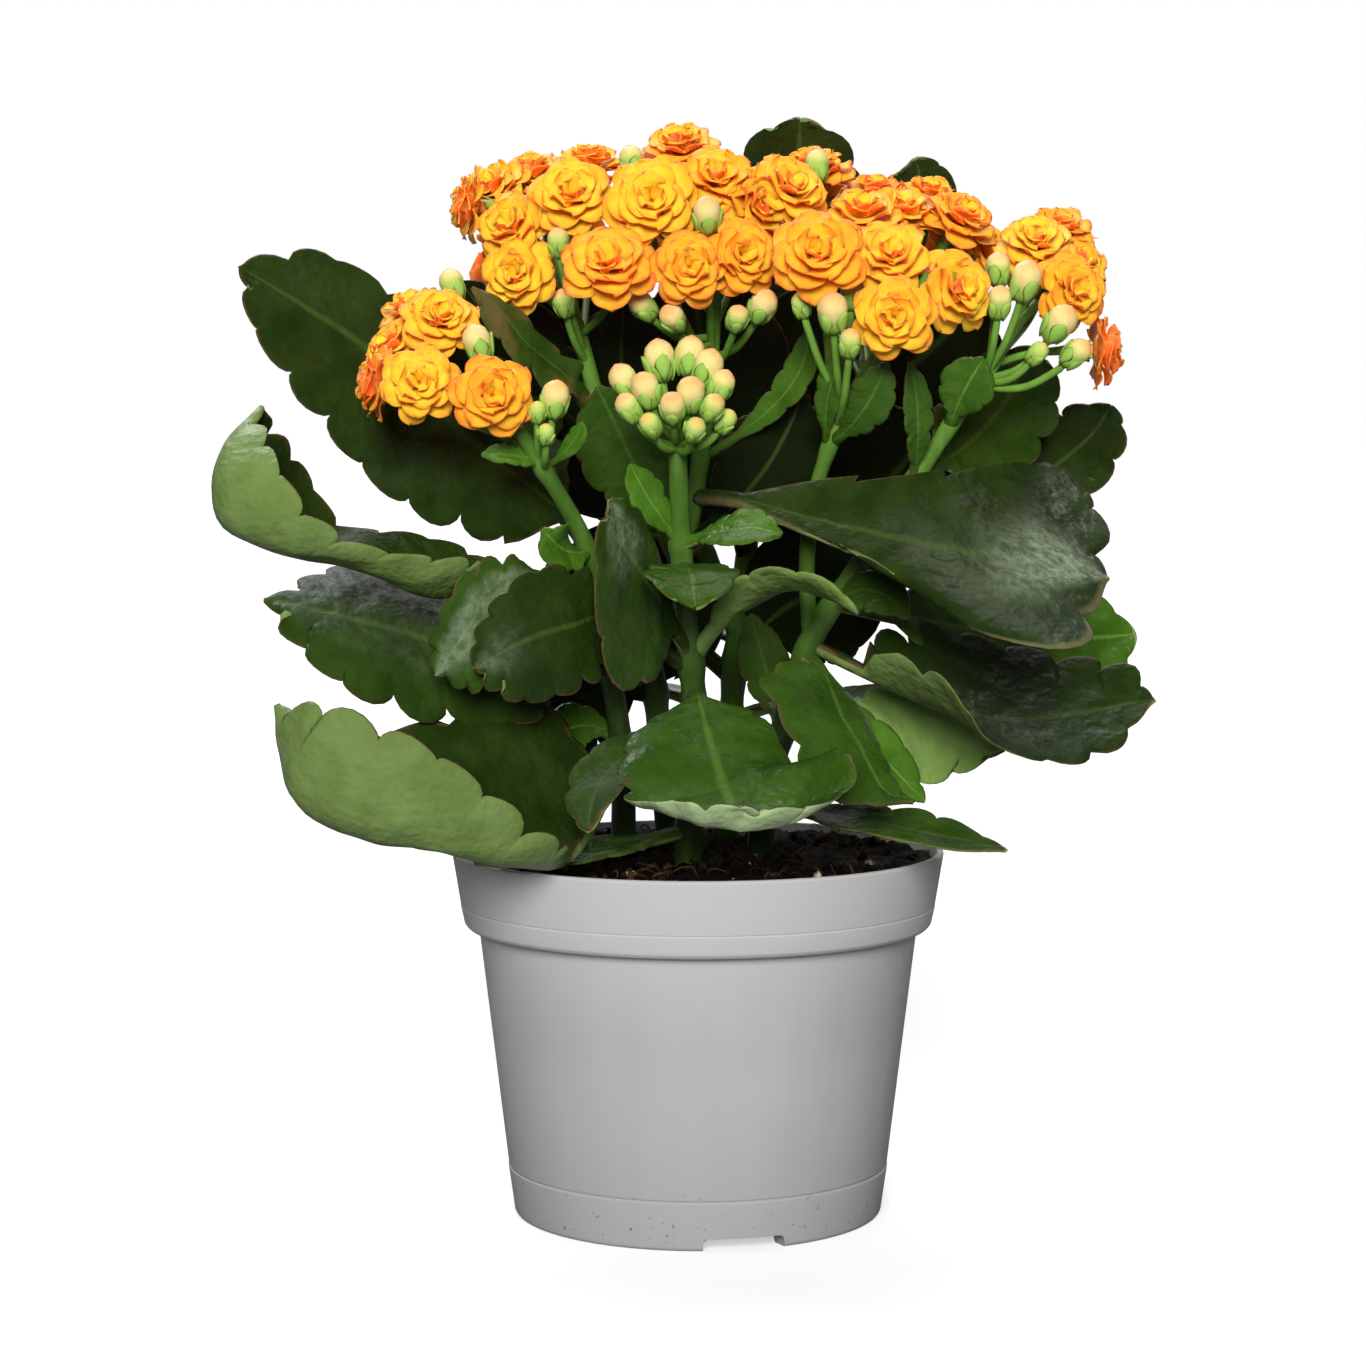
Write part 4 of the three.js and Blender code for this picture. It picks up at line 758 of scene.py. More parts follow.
def broad_grid(leaf, columns):
    """The middle layer of a broad leaf: each row is a curve from its left edge over its rib to its right."""
    path = [tuple(stem_point(leaf["on"], leaf["at"]))] + leaf["rib"]
    marks = np.linspace(0, 1, STEM_STEPS)
    fine = spline(path, marks)
    run = run_along(fine)
    petiole_share = float(np.interp(1 / (len(path) - 1), marks, run) / run[-1])
    sides = [[leaf["rib"][0]] + leaf[name] + [leaf["rib"][-1]] for name in ("left", "right")]

    def swell(blade):
        return np.linalg.norm(along_spline(sides[1], blade) - along_spline(sides[0], blade), axis=1) / 2

    lobes = leaf["lobes"]
    rows = blade_rows(lobes, ROWS_PER_LOBE, run[-1] * (1 - petiole_share), swell)
    t, share, blade, forward = with_petiole(rows, petiole_share)
    rib = between(t * run[-1], run, fine)
    along = unit(np.gradient(rib, axis=0))
    left, right = (along_spline(side, blade) for side in sides)
    half = np.linalg.norm(right - left, axis=1) / 2
    on_row = np.clip(np.arange(len(t)), np.argmax(blade > 0.05), len(t) - 2)
    side = unit(right[on_row] - left[on_row])
    mean = (left + right) / 2 - rib
    away = (right - left) / 2
    dish = leaf.get("dish", 2)
    c = sweep(columns)
    cuts, trims = [], []
    for sign, shift in ((-1, 0), (1, LOBE_SHIFT / lobes)):
        slope = np.linalg.norm(away + sign * dish * mean, axis=1)
        depth = notches(lobes, share + shift, half.max(), leaf.get("notch", NOTCH_DEPTH))
        cuts.append((depth * forward)[:, None])
        trims.append(trimmed(depth, forward, slope, 0.4))
    back = np.where(c < 0, *cuts) * c ** 2
    c = c * np.where(c < 0, *trims)
    on_blade = (blade > 0)[:, None, None]
    bow = np.abs(c) ** dish
    mid = rib[:, None] + on_blade * (away[:, None] * c[..., None] + mean[:, None] * bow[..., None])
    spare = np.maximum(PETIOLE_HALF_WIDTH * (1 - blade) ** 3, LEAST_HALF_WIDTH)
    mid = shifted(mid, side, c * spare[:, None])
    mid = shifted(mid, -along, back)
    return mid, t, blade, petiole_share, PETIOLE_HALF_WIDTH, np.maximum(half, spare)


def upwards(mid):
    """The way that the upper face looks at each point of a leaf's middle layer."""
    up = unit(np.cross(np.gradient(mid, axis=1), np.gradient(mid, axis=0)))
    up[-1] = up[-2]
    return up


def add_leaf(form, leaf, thickness, seed):
    """A fleshy blade on a petiole, with scalloped edges."""
    rng = np.random.default_rng(seed)
    if isinstance(leaf, dict):
        grid, columns, tone, more = broad_grid, BROAD_COLUMNS, leaf["tone"], leaf
    else:
        grid, columns, tone, more = row_grid, LEAF_COLUMNS, leaf[8], leaf[9]
        if leaf[4] <= BRACT_WIDTH:
            columns = BRACT_COLUMNS
    mid, t, blade, petiole_share, petiole, half = grid(leaf, columns)
    c = sweep(columns)
    up = upwards(mid)

    waves = rng.uniform(0, TURN, 6)
    swing = np.where(c < 0, waves[0], waves[1])
    margin = np.sin(TURN * EDGE_WAVES * t[:, None] + swing) * np.abs(c) ** 2
    across, run = half[:, None] * c, t[:, None] * half.max() * 3
    quilt = np.sin(run * 0.55 + waves[2] + 0.8 * np.sin(across * 0.4)) * np.sin(across * 0.5 + waves[3])
    quilt = quilt + 0.5 * np.sin(run * 1.1 + across * 0.7 + waves[4]) * np.sin(across * 0.9 - run * 0.3)
    offset = margin * EDGE_WAVE * half.max() + quilt * QUILTING * (1 - np.abs(c) ** 3)
    mid = shifted(mid, up, offset * smooth(blade / 0.3)[:, None])
    up = upwards(mid)

    slim = smooth((t - petiole_share * 0.5) / 0.22)[:, None]
    round_edge = (1 - np.abs(c) ** 6) ** 0.5
    stalk_edge = (1 - c ** 2) ** 0.5
    flesh = thickness / 2 * round_edge * slim + petiole * PETIOLE_FLESH * stalk_edge * (1 - slim)
    keel = petiole * RIB_KEEL * np.exp(-((across / petiole) ** 2)) * (1 - t[:, None]) * slim
    groove = RIB_GROOVE * np.exp(-((across / GROOVE_WIDTH) ** 2)) * slim
    edge = np.abs(c)
    form.skin(
        wrapped(shifted(mid, up, flesh - groove), shifted(mid, -up, flesh + keel)),
        upper=facing(columns),
        edge=wrapped(edge),
        reach=wrapped(half[:, None] * (1 - edge)),
        tone=tone,
        flush=more.get("flush", 0),
        # the wrinkled share of the upper face, which also gets a painted sheen
        crumple=more.get("crumple", 0) * smooth((t[:, None] - more.get("crumple_from", 0)) / 0.2),
        shine=more.get("shine", 1 if tone >= 0 else SHADE_SHINE),
        roll=more.get("roll", 0) * wrapped(c > 0),
        pale=more.get("pale", 0),
    )


def add_stem(form, name):
    """A stem with a slight swelling where each leaf leaves it."""
    stem = STEMS[name]
    share = np.linspace(0, 1, STEM_ROWS)
    path = along_spline(stem["path"], share)
    radius = stem["foot"] + (stem["top"] - stem["foot"]) * share
    nodes = [row[:2] for row in LEAVES + BRACTS] + [(leaf["on"], leaf["at"]) for leaf in BROAD_LEAVES]
    for on, at in nodes:
        if on == name:
            radius = radius * (1 + NODE_SWELL * np.exp(-(((path[:, 2] - at) / NODE_REACH) ** 2)))
    radius[-1] *= 0.4
    form.skin(circles(path, radius, STEM_SIDES), tone=(path[:, 2] / GREEN_HEIGHT)[:, None])


def stalk_path(start, end, axis, count):
    """A stalk's middle: it leaves a stem, bends, and comes in along an axis."""
    reach = np.linalg.norm(end - start)
    bend = (end - axis * reach * 0.4) * 0.75 + start * 0.25
    return along_spline([start, bend, end - axis * STALK_NECK, end], np.linspace(0, 1, count))


def look_axis(round_, up):
    """The way a bloom looks, from its degrees round from the front and up."""
    a, t = math.radians(round_), math.radians(up)
    return np.array([math.sin(a) * math.cos(t), -math.cos(a) * math.cos(t), math.sin(t)])


def turned(points, axis, spin, foot):
    """Points round +Z, spun and stood on a foot along an axis."""
    turn = Vector((0, 0, 1)).rotation_difference(Vector(axis)).to_matrix()
    return spun(points, spin) @ np.array(turn).T + foot


def petal_rings(length, width, start, radius, lean, cup, ruffle, phase, thickness, rows, columns):
    """A petal that stands on the tube and leans out towards +X, with a small point at its tip."""
    s = np.sin(np.linspace(0, 1, rows) * math.pi / 2) ** 0.9
    fine = np.linspace(0, 1, BEND_STEPS)
    angle = np.radians(lean[0] + (lean[1] - lean[0]) * fine ** 0.8)
    ahead, aside = bent(s, angle)
    a = np.interp(s, fine, angle)
    nought = np.zeros(rows)
    along = np.stack([np.sin(a), nought, np.cos(a)], -1)
    normal = np.stack([-np.cos(a), nought, np.sin(a)], -1)
    spread = 0.24 + 0.76 * smooth(s / 0.6)
    close = (1 - np.clip((s - 0.5) / 0.5, 0, 1) ** 3) ** 0.5
    half = np.maximum(width / 2 * spread * close, 0.06)[:, None]
    c = sweep(columns)
    point = np.stack([radius + length * aside, nought, start + length * ahead], -1)
    mid = shifted(point[:, None], np.array([0, -1.0, 0]), half * c)
    lift = cup * half * c ** 2
    swing = ruffle * np.sin(TURN * (1.3 * s[:, None] + phase) + 1.9 * np.sign(c)) * np.abs(c) ** 1.4
    mid = shifted(mid, normal, lift + swing * smooth(s / 0.5)[:, None])
    frill = 0.3 * np.sin(c * 7 + phase * 9) * smooth((s - 0.6) / 0.4)[:, None]
    mid = shifted(mid, along, frill)
    mid[-1] += along[-1] * 0.15
    flesh = thickness / 2 * (1 - np.abs(c) ** 4) ** 0.5
    rings = wrapped(shifted(mid, normal, flesh), shifted(mid, -normal, flesh))
    return rings, wrapped(np.abs(c)), s


def add_bloom(form, row, seed):
    """A double bloom: a tube, and five layers of petals from flat and wide to a tight heart."""
    round_, up, size = row[3:]
    rng = np.random.default_rng(seed)
    axis = look_axis(round_, up)
    spin = rng.uniform(0, TURN)
    age = rng.uniform(0, 1)
    place = dict(axis=axis, spin=spin, foot=np.array(row[:3]) - axis * BLOOM_CENTRE)
    height = np.linspace(-0.4, TUBE_TOP, TUBE_ROWS)
    radius = 1.35 + 0.5 * np.sin(np.clip(height / TUBE_TOP, 0, 1) * math.pi)
    tube = circles(np.stack([0 * height, 0 * height, height], -1), radius, TUBE_SIDES)
    form.skin(turned(tube, **place), upper=0, edge=0, along=(height[:, None] / 20), layer=0, age=age)
    turn = 0
    for layer, (count, length, width, start, lean_base, lean_tip) in enumerate(PETAL_LAYERS):
        turn += math.pi / count + rng.uniform(-0.2, 0.2)
        inward = layer / (len(PETAL_LAYERS) - 1)
        for petal in range(count):
            jitter = rng.uniform(-1, 1, 5)
            rings, edge, s = petal_rings(
                length * size * (1 + 0.05 * jitter[0]), width * size * (1 + 0.07 * jitter[1]),
                start, 1.2 - 0.8 * inward, (lean_base, lean_tip + 8 * jitter[2]), 0.1 + 0.2 * inward,
                0.75 + 0.15 * inward, rng.uniform(0, 1), PETAL_THICKNESS, PETAL_ROWS, PETAL_COLUMNS,
            )
            rings = spun(rings, turn + petal / count * TURN + 0.14 * jitter[3])
            form.skin(
                turned(rings, **place), upper=facing(PETAL_COLUMNS), edge=edge, along=s[:, None],
                layer=inward, age=np.clip(age + 0.15 * jitter[4], 0, 1),
            )


def add_calyx(form, axis, foot, radius, length, leans, seed):
    """Four pointed sepals round the foot of a bloom or bud."""
    rng = np.random.default_rng(seed)
    spin = rng.uniform(0, TURN)
    for k in range(SEPALS):
        rings = petal_rings(
            length * rng.uniform(0.9, 1.1), radius * 1.35, -0.6, radius * 0.72,
            (leans[0], leans[1] + rng.uniform(-5, 8)), 0.45, 0, 0,
            SEPAL_THICKNESS, SEPAL_ROWS, SEPAL_COLUMNS,
        )[0]
        form.skin(turned(spun(rings, k / SEPALS * TURN), axis, spin, foot), tone=SEPAL_TONE)


def add_bud(form, greens, row, start, seed):
    """A stalk with a bud: its calyx, and an egg of petals folded in a spiral."""
    size = row[3]
    centre = np.array(row[:3], float)
    axis = centre - start
    axis[2] = abs(axis[2]) + np.linalg.norm(axis) * 0.5
    axis = unit(axis)
    height = BUD_HEIGHT * size
    foot = centre - axis * height / 2
    path = stalk_path(start, foot + axis * 0.6, axis, BUD_STALK_ROWS)
    radii = np.linspace(1, 0.9, BUD_STALK_ROWS) * STALK_RADIUS
    greens.skin(circles(path, radii, BUD_STALK_SIDES), tone=BUD_STALK_TONE)
    ripe = min(max((size - 0.72) / 0.3, 0), 1)
    h = np.linspace(0, 1, BUD_ROWS)
    belly = np.interp(h, *zip(*BUD_OUTLINE))
    angle = angles_round(BUD_SIDES)
    crease = np.abs(np.sin(2.5 * angle + 2.2 * h[:, None] + seed))
    fold = BUD_FOLD_DEPTH * smooth((h[:, None] - 0.35) / 0.4) * crease
    upright = np.stack([0 * h, 0 * h, h * height], -1)
    local = circles(upright, belly * BUD_RADIUS * size * 0.96, BUD_SIDES, 1 + fold)
    form.skin(turned(local, axis, seed, foot), along=h[:, None], ripe=ripe, fold=fold / BUD_FOLD_DEPTH)
    add_calyx(greens, axis, foot + axis * 0.9, BUD_RADIUS * size * 0.86, height * 0.58, (36, -6), seed + 5)


def add_head(blooms, buds, greens, head, seed):
    """The stalks, buds and blooms of one flower head."""
    stem = head["on"]
    rows = head["blooms"] + head["buds"]
    top = STEMS[stem]["path"][-1][2]
    shares = np.linspace(0, 1, STALK_ROWS)
    for i, row in enumerate(rows):
        start = stem_point(stem, top - head.get("stretch", STALK_STRETCH) * (i + 0.5) / len(rows))
        if i >= len(head["blooms"]):
            add_bud(buds, greens, row, start, seed + i)
            continue
        axis = look_axis(row[3], row[4])
        foot = np.array(row[:3]) - axis * BLOOM_CENTRE
        radii = np.interp(shares, [0, 0.6, 0.85, 1], [1, 0.9, 1.1, CALYX_RADIUS * 0.85])
        path = stalk_path(start, foot, axis, STALK_ROWS)
        greens.skin(circles(path, radii, STALK_SIDES), tone=STALK_TONE)
        add_calyx(greens, axis, foot, CALYX_RADIUS, 4.6, (5, 24), seed + i)
        add_bloom(blooms, row, seed + i)


def linear(code):
    """A colour written as six hex digits, as the renderer's light values."""
    parts = [int(code[k:k + 2], 16) / 255 for k in (0, 2, 4)]
    return tuple(x / 12.92 if x <= 0.04045 else ((x + 0.055) / 1.055) ** 2.4 for x in parts) + (1,)


class Nodes:
    """Short ways to wire shader nodes together."""

    def __init__(self, user):
        user.use_nodes = True
        self.tree = user.node_tree

    def node(self, kind, inputs=None, **settings):
        made = self.tree.nodes.new("ShaderNode" + kind)
        for key, value in settings.items():
            setattr(made, key, value)
        for key, value in (inputs or {}).items():
            self.feed(made.inputs[key], value)
        return made

    def feed(self, socket, value):
        """Wires another socket to this one, or sets a number or a colour on it."""
        if isinstance(value, bpy.types.NodeSocket):
            self.tree.links.new(value, socket)
        else:
            socket.default_value = linear(value) if isinstance(value, str) else value

    def math(self, operation, first, *others):
        """One value after another is worked into the first."""
        for other in others:
            first = self.node("Math", {0: first, 1: other}, operation=operation).outputs[0]
        return first

    def times(self, *values):
        return self.math("MULTIPLY", *values)

    def step(self, value, low, high, to_low=0.0, to_high=1.0):
        inputs = {"Value": value, "From Min": low, "From Max": high, "To Min": to_low, "To Max": to_high}
        return self.node("MapRange", inputs, interpolation_type="SMOOTHSTEP").outputs[0]

    def mix(self, factor, a, b):
        return self.node("Mix", {0: factor, 6: a, 7: b}, data_type="RGBA").outputs[2]


class Look(Nodes):
    """A procedural material with one Principled shader."""

    def __init__(self, name, **fixed):
        self.material = bpy.data.materials.new(name)
        super().__init__(self.material)
        self.shader = self.tree.nodes["Principled BSDF"]
        self.place = self.node("TexCoord").outputs["Object"]
        for key, value in fixed.items():
            self.feed(self.shader.inputs[key.replace("_", " ")], value)

    def values(self, *names):
        """The numbers that the mesh carries at its points."""
        return [self.node("Attribute", attribute_name=name).outputs["Fac"] for name in names]

    def noise(self, size, detail=3, stretch=(1, 1, 1), roughness=0.55):
        """Noise whose grains are about size millimetres."""
        scaled = self.node("Mapping", {"Vector": self.place, "Scale": stretch}).outputs[0]
        inputs = {"Vector": scaled, "Scale": 1 / (size * MM), "Detail": detail, "Roughness": roughness}
        return self.node("TexNoise", inputs).outputs["Fac"]

    def bump(self, height, distance, strength=1.0, normal=None):
        inputs = {"Height": height, "Distance": distance * MM, "Strength": strength}
        if normal is not None:
            inputs["Normal"] = normal
        return self.node("Bump", inputs).outputs[0]

    def finish(self, colour, roughness, normal):
        for name, value in (("Base Color", colour), ("Roughness", roughness), ("Normal", normal)):
            self.feed(self.shader.inputs[name], value)
        return self.material


def leaf_look():
    """Waxy and blistered, dark olive green above, matt and pale below, with a thin reddish margin; a painted
    sheen on wrinkled patches and painted shade on leaves deep in the plant.
    """
    look = Look("leaf", Specular_IOR_Level=0.33)
    tone, upper, edge, reach, shine = look.values("tone", "upper", "edge", "reach", "shine")
    pale, flush, roll, crumple = look.values("pale", "flush", "roll", "crumple")
    above = look.step(upper, 0.4, 0.6)
    mottle = look.step(look.noise(11, 4), 0.3, 0.7)
    top = look.mix(tone, look.mix(mottle, *OLD_LEAF), look.mix(mottle, *YOUNG_LEAF))
    # Leaves with a tone under 0 are mixed towards a near-black green, up to three quarters at -1: painted
    # shade for leaves deep in the plant.
    top = look.mix(look.step(tone, -1, 0, 0.75, 0), top, PAINTED_LEAF_SHADE)
    rib = look.times(look.step(edge, 0.015, 0.07, 1, 0), look.step(tone, 0.1, 0.9, 0.08, 0.28))
    top = look.mix(rib, top, RIB)
    under = look.mix(look.step(look.noise(8, 4), 0.25, 0.75), *LEAF_BACK)
    under = look.mix(look.times(tone, 0.35), under, YOUNG_BACK)
    under = look.mix(pale, under, PALE_BACK)
    colour = look.mix(above, under, top)
    colour = look.mix(look.times(flush, look.step(look.noise(14, 2), 0.4, 0.6)), colour, FLUSH)
    rim = look.times(
        look.step(reach, 0.1, 0.5, 1, 0), look.step(look.noise(3, 2), 0.4, 0.6, 0.15, 0.85),
        look.step(tone, 0.3, 0.8, 1, 0.25), look.step(upper, 0.2, 0.5, 0.25, 1),
    )
    colour = look.mix(rim, colour, RIM)
    rolled = look.times(roll, look.step(reach, 0.7, 2.4, 0.8, 0))
    colour = look.mix(rolled, colour, look.mix(look.noise(5, 3), *ROLLED_RIM))
    # On the wrinkled patches of the upper face, away from the edges, a pale grey-green is mixed in with
    # noise: a painted sheen in place of a highlight. The same patches also get a wrinkled bump below.
    crumple = look.times(crumple, above, look.step(edge, 0.25, 0.7, 1, 0))
    painted_sheen = look.times(crumple, look.step(look.noise(3, 4, roughness=0.7), 0.35, 0.65, 0.25, 0.75))
    colour = look.mix(painted_sheen, colour, PAINTED_SHEEN)
    worn = look.step(look.noise(16, 3), 0.35, 0.65, 0.22, 0.38)
    worn = look.math("ADD", worn, look.step(upper, 0.4, 0.6, 0.5, 0))
    dull = look.times(look.math("SUBTRACT", 1.0, shine), 0.4)
    roughness = look.math("ADD", look.times(look.step(upper, 0.4, 0.6, 0.52, 1), worn), dull)
    blister = look.bump(look.noise(6, 2), 1.8, 0.7)
    blister = look.bump(look.times(look.noise(3, 4, roughness=0.65), crumple), 1.6, 0.8, blister)
    return look.finish(colour, roughness, look.bump(look.noise(1.2, 3), 0.3, 0.7, blister))


def stem_look():
    """Smooth fleshy green, dull at the foot of the stem and bright on the flower stalks."""
    look = Look("stem", Specular_IOR_Level=0.4)
    tone, = look.values("tone")
    mottle = look.step(look.noise(5, 3, (1, 1, 0.3)), 0.3, 0.7)
    height = look.step(tone, 0.45, 1.1)
    colour = look.mix(height, look.mix(mottle, *STEM_FOOT), look.mix(mottle, *STEM_TOP))
    colour = look.mix(look.step(tone, 1.12, 1.25), colour, SEPAL)
    return look.finish(colour, 0.42, look.bump(look.noise(1.4, 2, (1, 1, 0.2)), 0.15, 0.4))


def petal_look():
    """Golden yellow in the heart, orange towards the outer petals and edges, paler on the back."""
    look = Look(
        "petal", Specular_IOR_Level=0.25,
        Subsurface_Weight=0.6, Subsurface_Scale=0.004, Subsurface_Radius=(1, 0.5, 0.2),
    )
    layer, along, edge, age, upper = look.values("layer", "along", "edge", "age", "upper")
    warm = look.math(
        "ADD",
        look.times(look.math("SUBTRACT", 1.0, layer), 0.24),
        look.times(look.math("POWER", along, 4.0), 0.42),
        look.times(look.math("POWER", edge, 4.0), 0.34),
        look.times(look.math("SUBTRACT", age, 0.5), 0.24),
        look.step(look.noise(2.5, 2), 0.3, 0.7, -0.1, 0.1),
    )
    gold = look.mix(look.step(warm, 0.05, 0.5), *PETAL_GOLD)
    inside = look.mix(look.step(warm, 0.45, 0.95), gold, PETAL_TIP)
    back = look.mix(look.step(along, 0.1, 0.9), *PETAL_BACK)
    colour = look.mix(look.step(upper, 0.3, 0.6), back, inside)
    return look.finish(colour, 0.55, look.bump(look.noise(0.8, 2), 0.1, 0.4))


def bud_look():
    """Green at the calyx, cream and peach above, with orange in the folds at the tip."""
    look = Look("bud", Specular_IOR_Level=0.4, Subsurface_Weight=0.2, Subsurface_Scale=0.002)
    along, ripe, fold = look.values("along", "ripe", "fold")
    cream = look.mix(look.step(along, 0.74, 1.0), *BUD_CREAM)
    cream = look.mix(look.times(look.step(fold, 0.25, 0.0), 0.45), cream, BUD_FOLD)
    green = look.mix(look.step(along, 0.0, 0.8), *BUD_GREEN)
    start = look.step(look.math("ADD", along, look.times(ripe, 0.55)), 0.8, 1.15)
    return look.finish(look.mix(start, green, cream), 0.4, look.bump(look.noise(1.2, 2), 0.1, 0.3))


def pot_look():
    """Mid-grey satin plastic with faint upright flow streaks and specks of dirt near the foot, with painted
    light that lightens the upper wall and band and painted shade that darkens the lower part.
    """
    look = Look("pot_plastic", Specular_IOR_Level=0.45)
    height = look.node("SeparateXYZ", {0: look.place}).outputs["Z"]
    colour = look.mix(look.step(look.noise(9, 3, (1, 1, 0.04)), 0.3, 0.7, 0, 0.5), *POT_GREY)
    colour = look.mix(look.step(look.noise(40, 3), 0.35, 0.75, 0, 0.4), colour, POT_CLOUD)
    # Painted light: from 45 mm up, the wall and rim band are mixed towards a lighter grey.
    colour = look.mix(look.step(height, 0.045, 0.08, 0, 0.85), colour, POT_PAINTED_LIGHT)
    # Painted shade: the lowest 45 mm are mixed towards a darker grey, most at the foot.
    colour = look.mix(look.step(height, 0, 0.045, 0.7, 0), colour, POT_PAINTED_SHADE)
    specks = look.step(look.noise(1.1, 1), 0.70, 0.76)
    colour = look.mix(look.times(specks, look.step(height, 0.0015, 0.02, 1, 0)), colour, POT_DIRT)
    roughness = look.step(look.noise(3, 3), 0.3, 0.7, 0.36, 0.5)
    return look.finish(colour, roughness, look.bump(look.noise(0.7, 2), 0.04, 0.5))


def soil_look():
    """Moist dark peat, with brown fibres and a few pale crumbs."""
    look = Look("soil", Specular_IOR_Level=0.25)
    tone, = look.values("tone")
    peat = look.mix(look.step(look.noise(2.2, 4), 0.35, 0.7), *PEAT)
    colour = look.mix(look.step(tone, 0.0, 0.6), peat, FIBRE)
    colour = look.mix(look.step(tone, 0.7, 1.0), colour, PALE_CRUMB)
    return look.finish(colour, 0.92, look.bump(look.noise(1.3, 4), 0.7, 0.8))


def notch_height(angle):
    """How high the drain notches cut the foot at an angle round the pot: a low arch with round corners."""
    turn = TURN / DRAIN_NOTCHES
    first = math.radians(FIRST_NOTCH_TURN - 90)
    away = np.abs((angle - first + turn / 2) % turn - turn / 2) * FOOT_RADIUS
    inside = DRAIN_NOTCH_WIDTH / 2 - away
    corner = np.sqrt(np.clip(1 - (1 - np.clip(inside / NOTCH_CORNER, 0, 1)) ** 2, 0, 1))
    return np.where(inside > 0, DRAIN_NOTCH_HEIGHT - NOTCH_CORNER * (1 - corner), 0)


def pot_angles():
    """Angles round the pot, even except for a close set at the sides of each notch."""
    angles = list(angles_round(POT_SEGMENTS))
    for i in range(DRAIN_NOTCHES):
        middle = math.radians(FIRST_NOTCH_TURN - 90 + 360 / DRAIN_NOTCHES * i)
        for side in (-1, 1):
            for inset in (-0.02, 0.02, 0.2, 0.5, 0.9, 1.4, NOTCH_CORNER):
                angles.append(middle + side * (DRAIN_NOTCH_WIDTH / 2 - inset) / FOOT_RADIUS)
    return np.unique(np.round(np.array(angles) % TURN, 6))


def rounded(profile, radius, steps=5):
    """A closed profile with each corner cut back into a small arc."""
    p = np.array(profile, float)
    result = []
    for before, here, after in zip(np.roll(p, 1, 0), p, np.roll(p, -1, 0)):
        if here[0] == 0:
            result.append(here)
            continue
        a, b = before - here, after - here
        reach = min(radius, np.linalg.norm(a) * 0.4, np.linalg.norm(b) * 0.4)
        a, b = here + unit(a) * reach, here + unit(b) * reach
        for t in np.linspace(0, 1, steps):
            result.append((1 - t) ** 2 * a + 2 * t * (1 - t) * here + t * t * b)
    return np.array(result)


def pot_profile():
    """The pot's section from the middle of its floor out, up and back: radius and height."""
    foot_inner = FOOT_RADIUS - FOOT_RING_WIDTH
    slope = (WALL_TOP_RADIUS - FOOT_RADIUS) / BAND_BOTTOM
    band_slope = (RIM_RADIUS - BAND_RADIUS) / (POT_HEIGHT - BAND_BOTTOM)

    def wall(z, out=0.0, up=0.0):
        return FOOT_RADIUS + slope * z + out, z + up

    def band(out, up):
        return BAND_RADIUS + band_slope * (BAND_LINE - BAND_BOTTOM) + out, BAND_LINE + up

    return [
        (0, FLOOR_RAISE), (foot_inner - 1.5, FLOOR_RAISE), (foot_inner, 0), (FOOT_RADIUS - 0.5, 0),
        (FOOT_RADIUS, 0.7), wall(3.2), wall(4), wall(PARTING_LINE, 0.15, -0.35),
        wall(PARTING_LINE, -0.3), wall(PARTING_LINE + 0.4), wall(40),
        (WALL_TOP_RADIUS, BAND_BOTTOM - 0.4), (BAND_RADIUS - 0.8, BAND_BOTTOM),
        (BAND_RADIUS, BAND_BOTTOM + 0.9), band(0.05, -0.25), band(-0.14, 0), band(0.05, 0.25),
        (RIM_RADIUS - 0.05, POT_HEIGHT - 0.5), (RIM_RADIUS - 0.5, POT_HEIGHT),
        (RIM_RADIUS - WALL - 0.2, POT_HEIGHT), (BAND_RADIUS - WALL, BAND_BOTTOM + WALL),
        (WALL_TOP_RADIUS - WALL, BAND_BOTTOM - 0.6), (FOOT_RADIUS - WALL, FLOOR_RAISE + WALL),
        (0, FLOOR_RAISE + WALL),
    ]


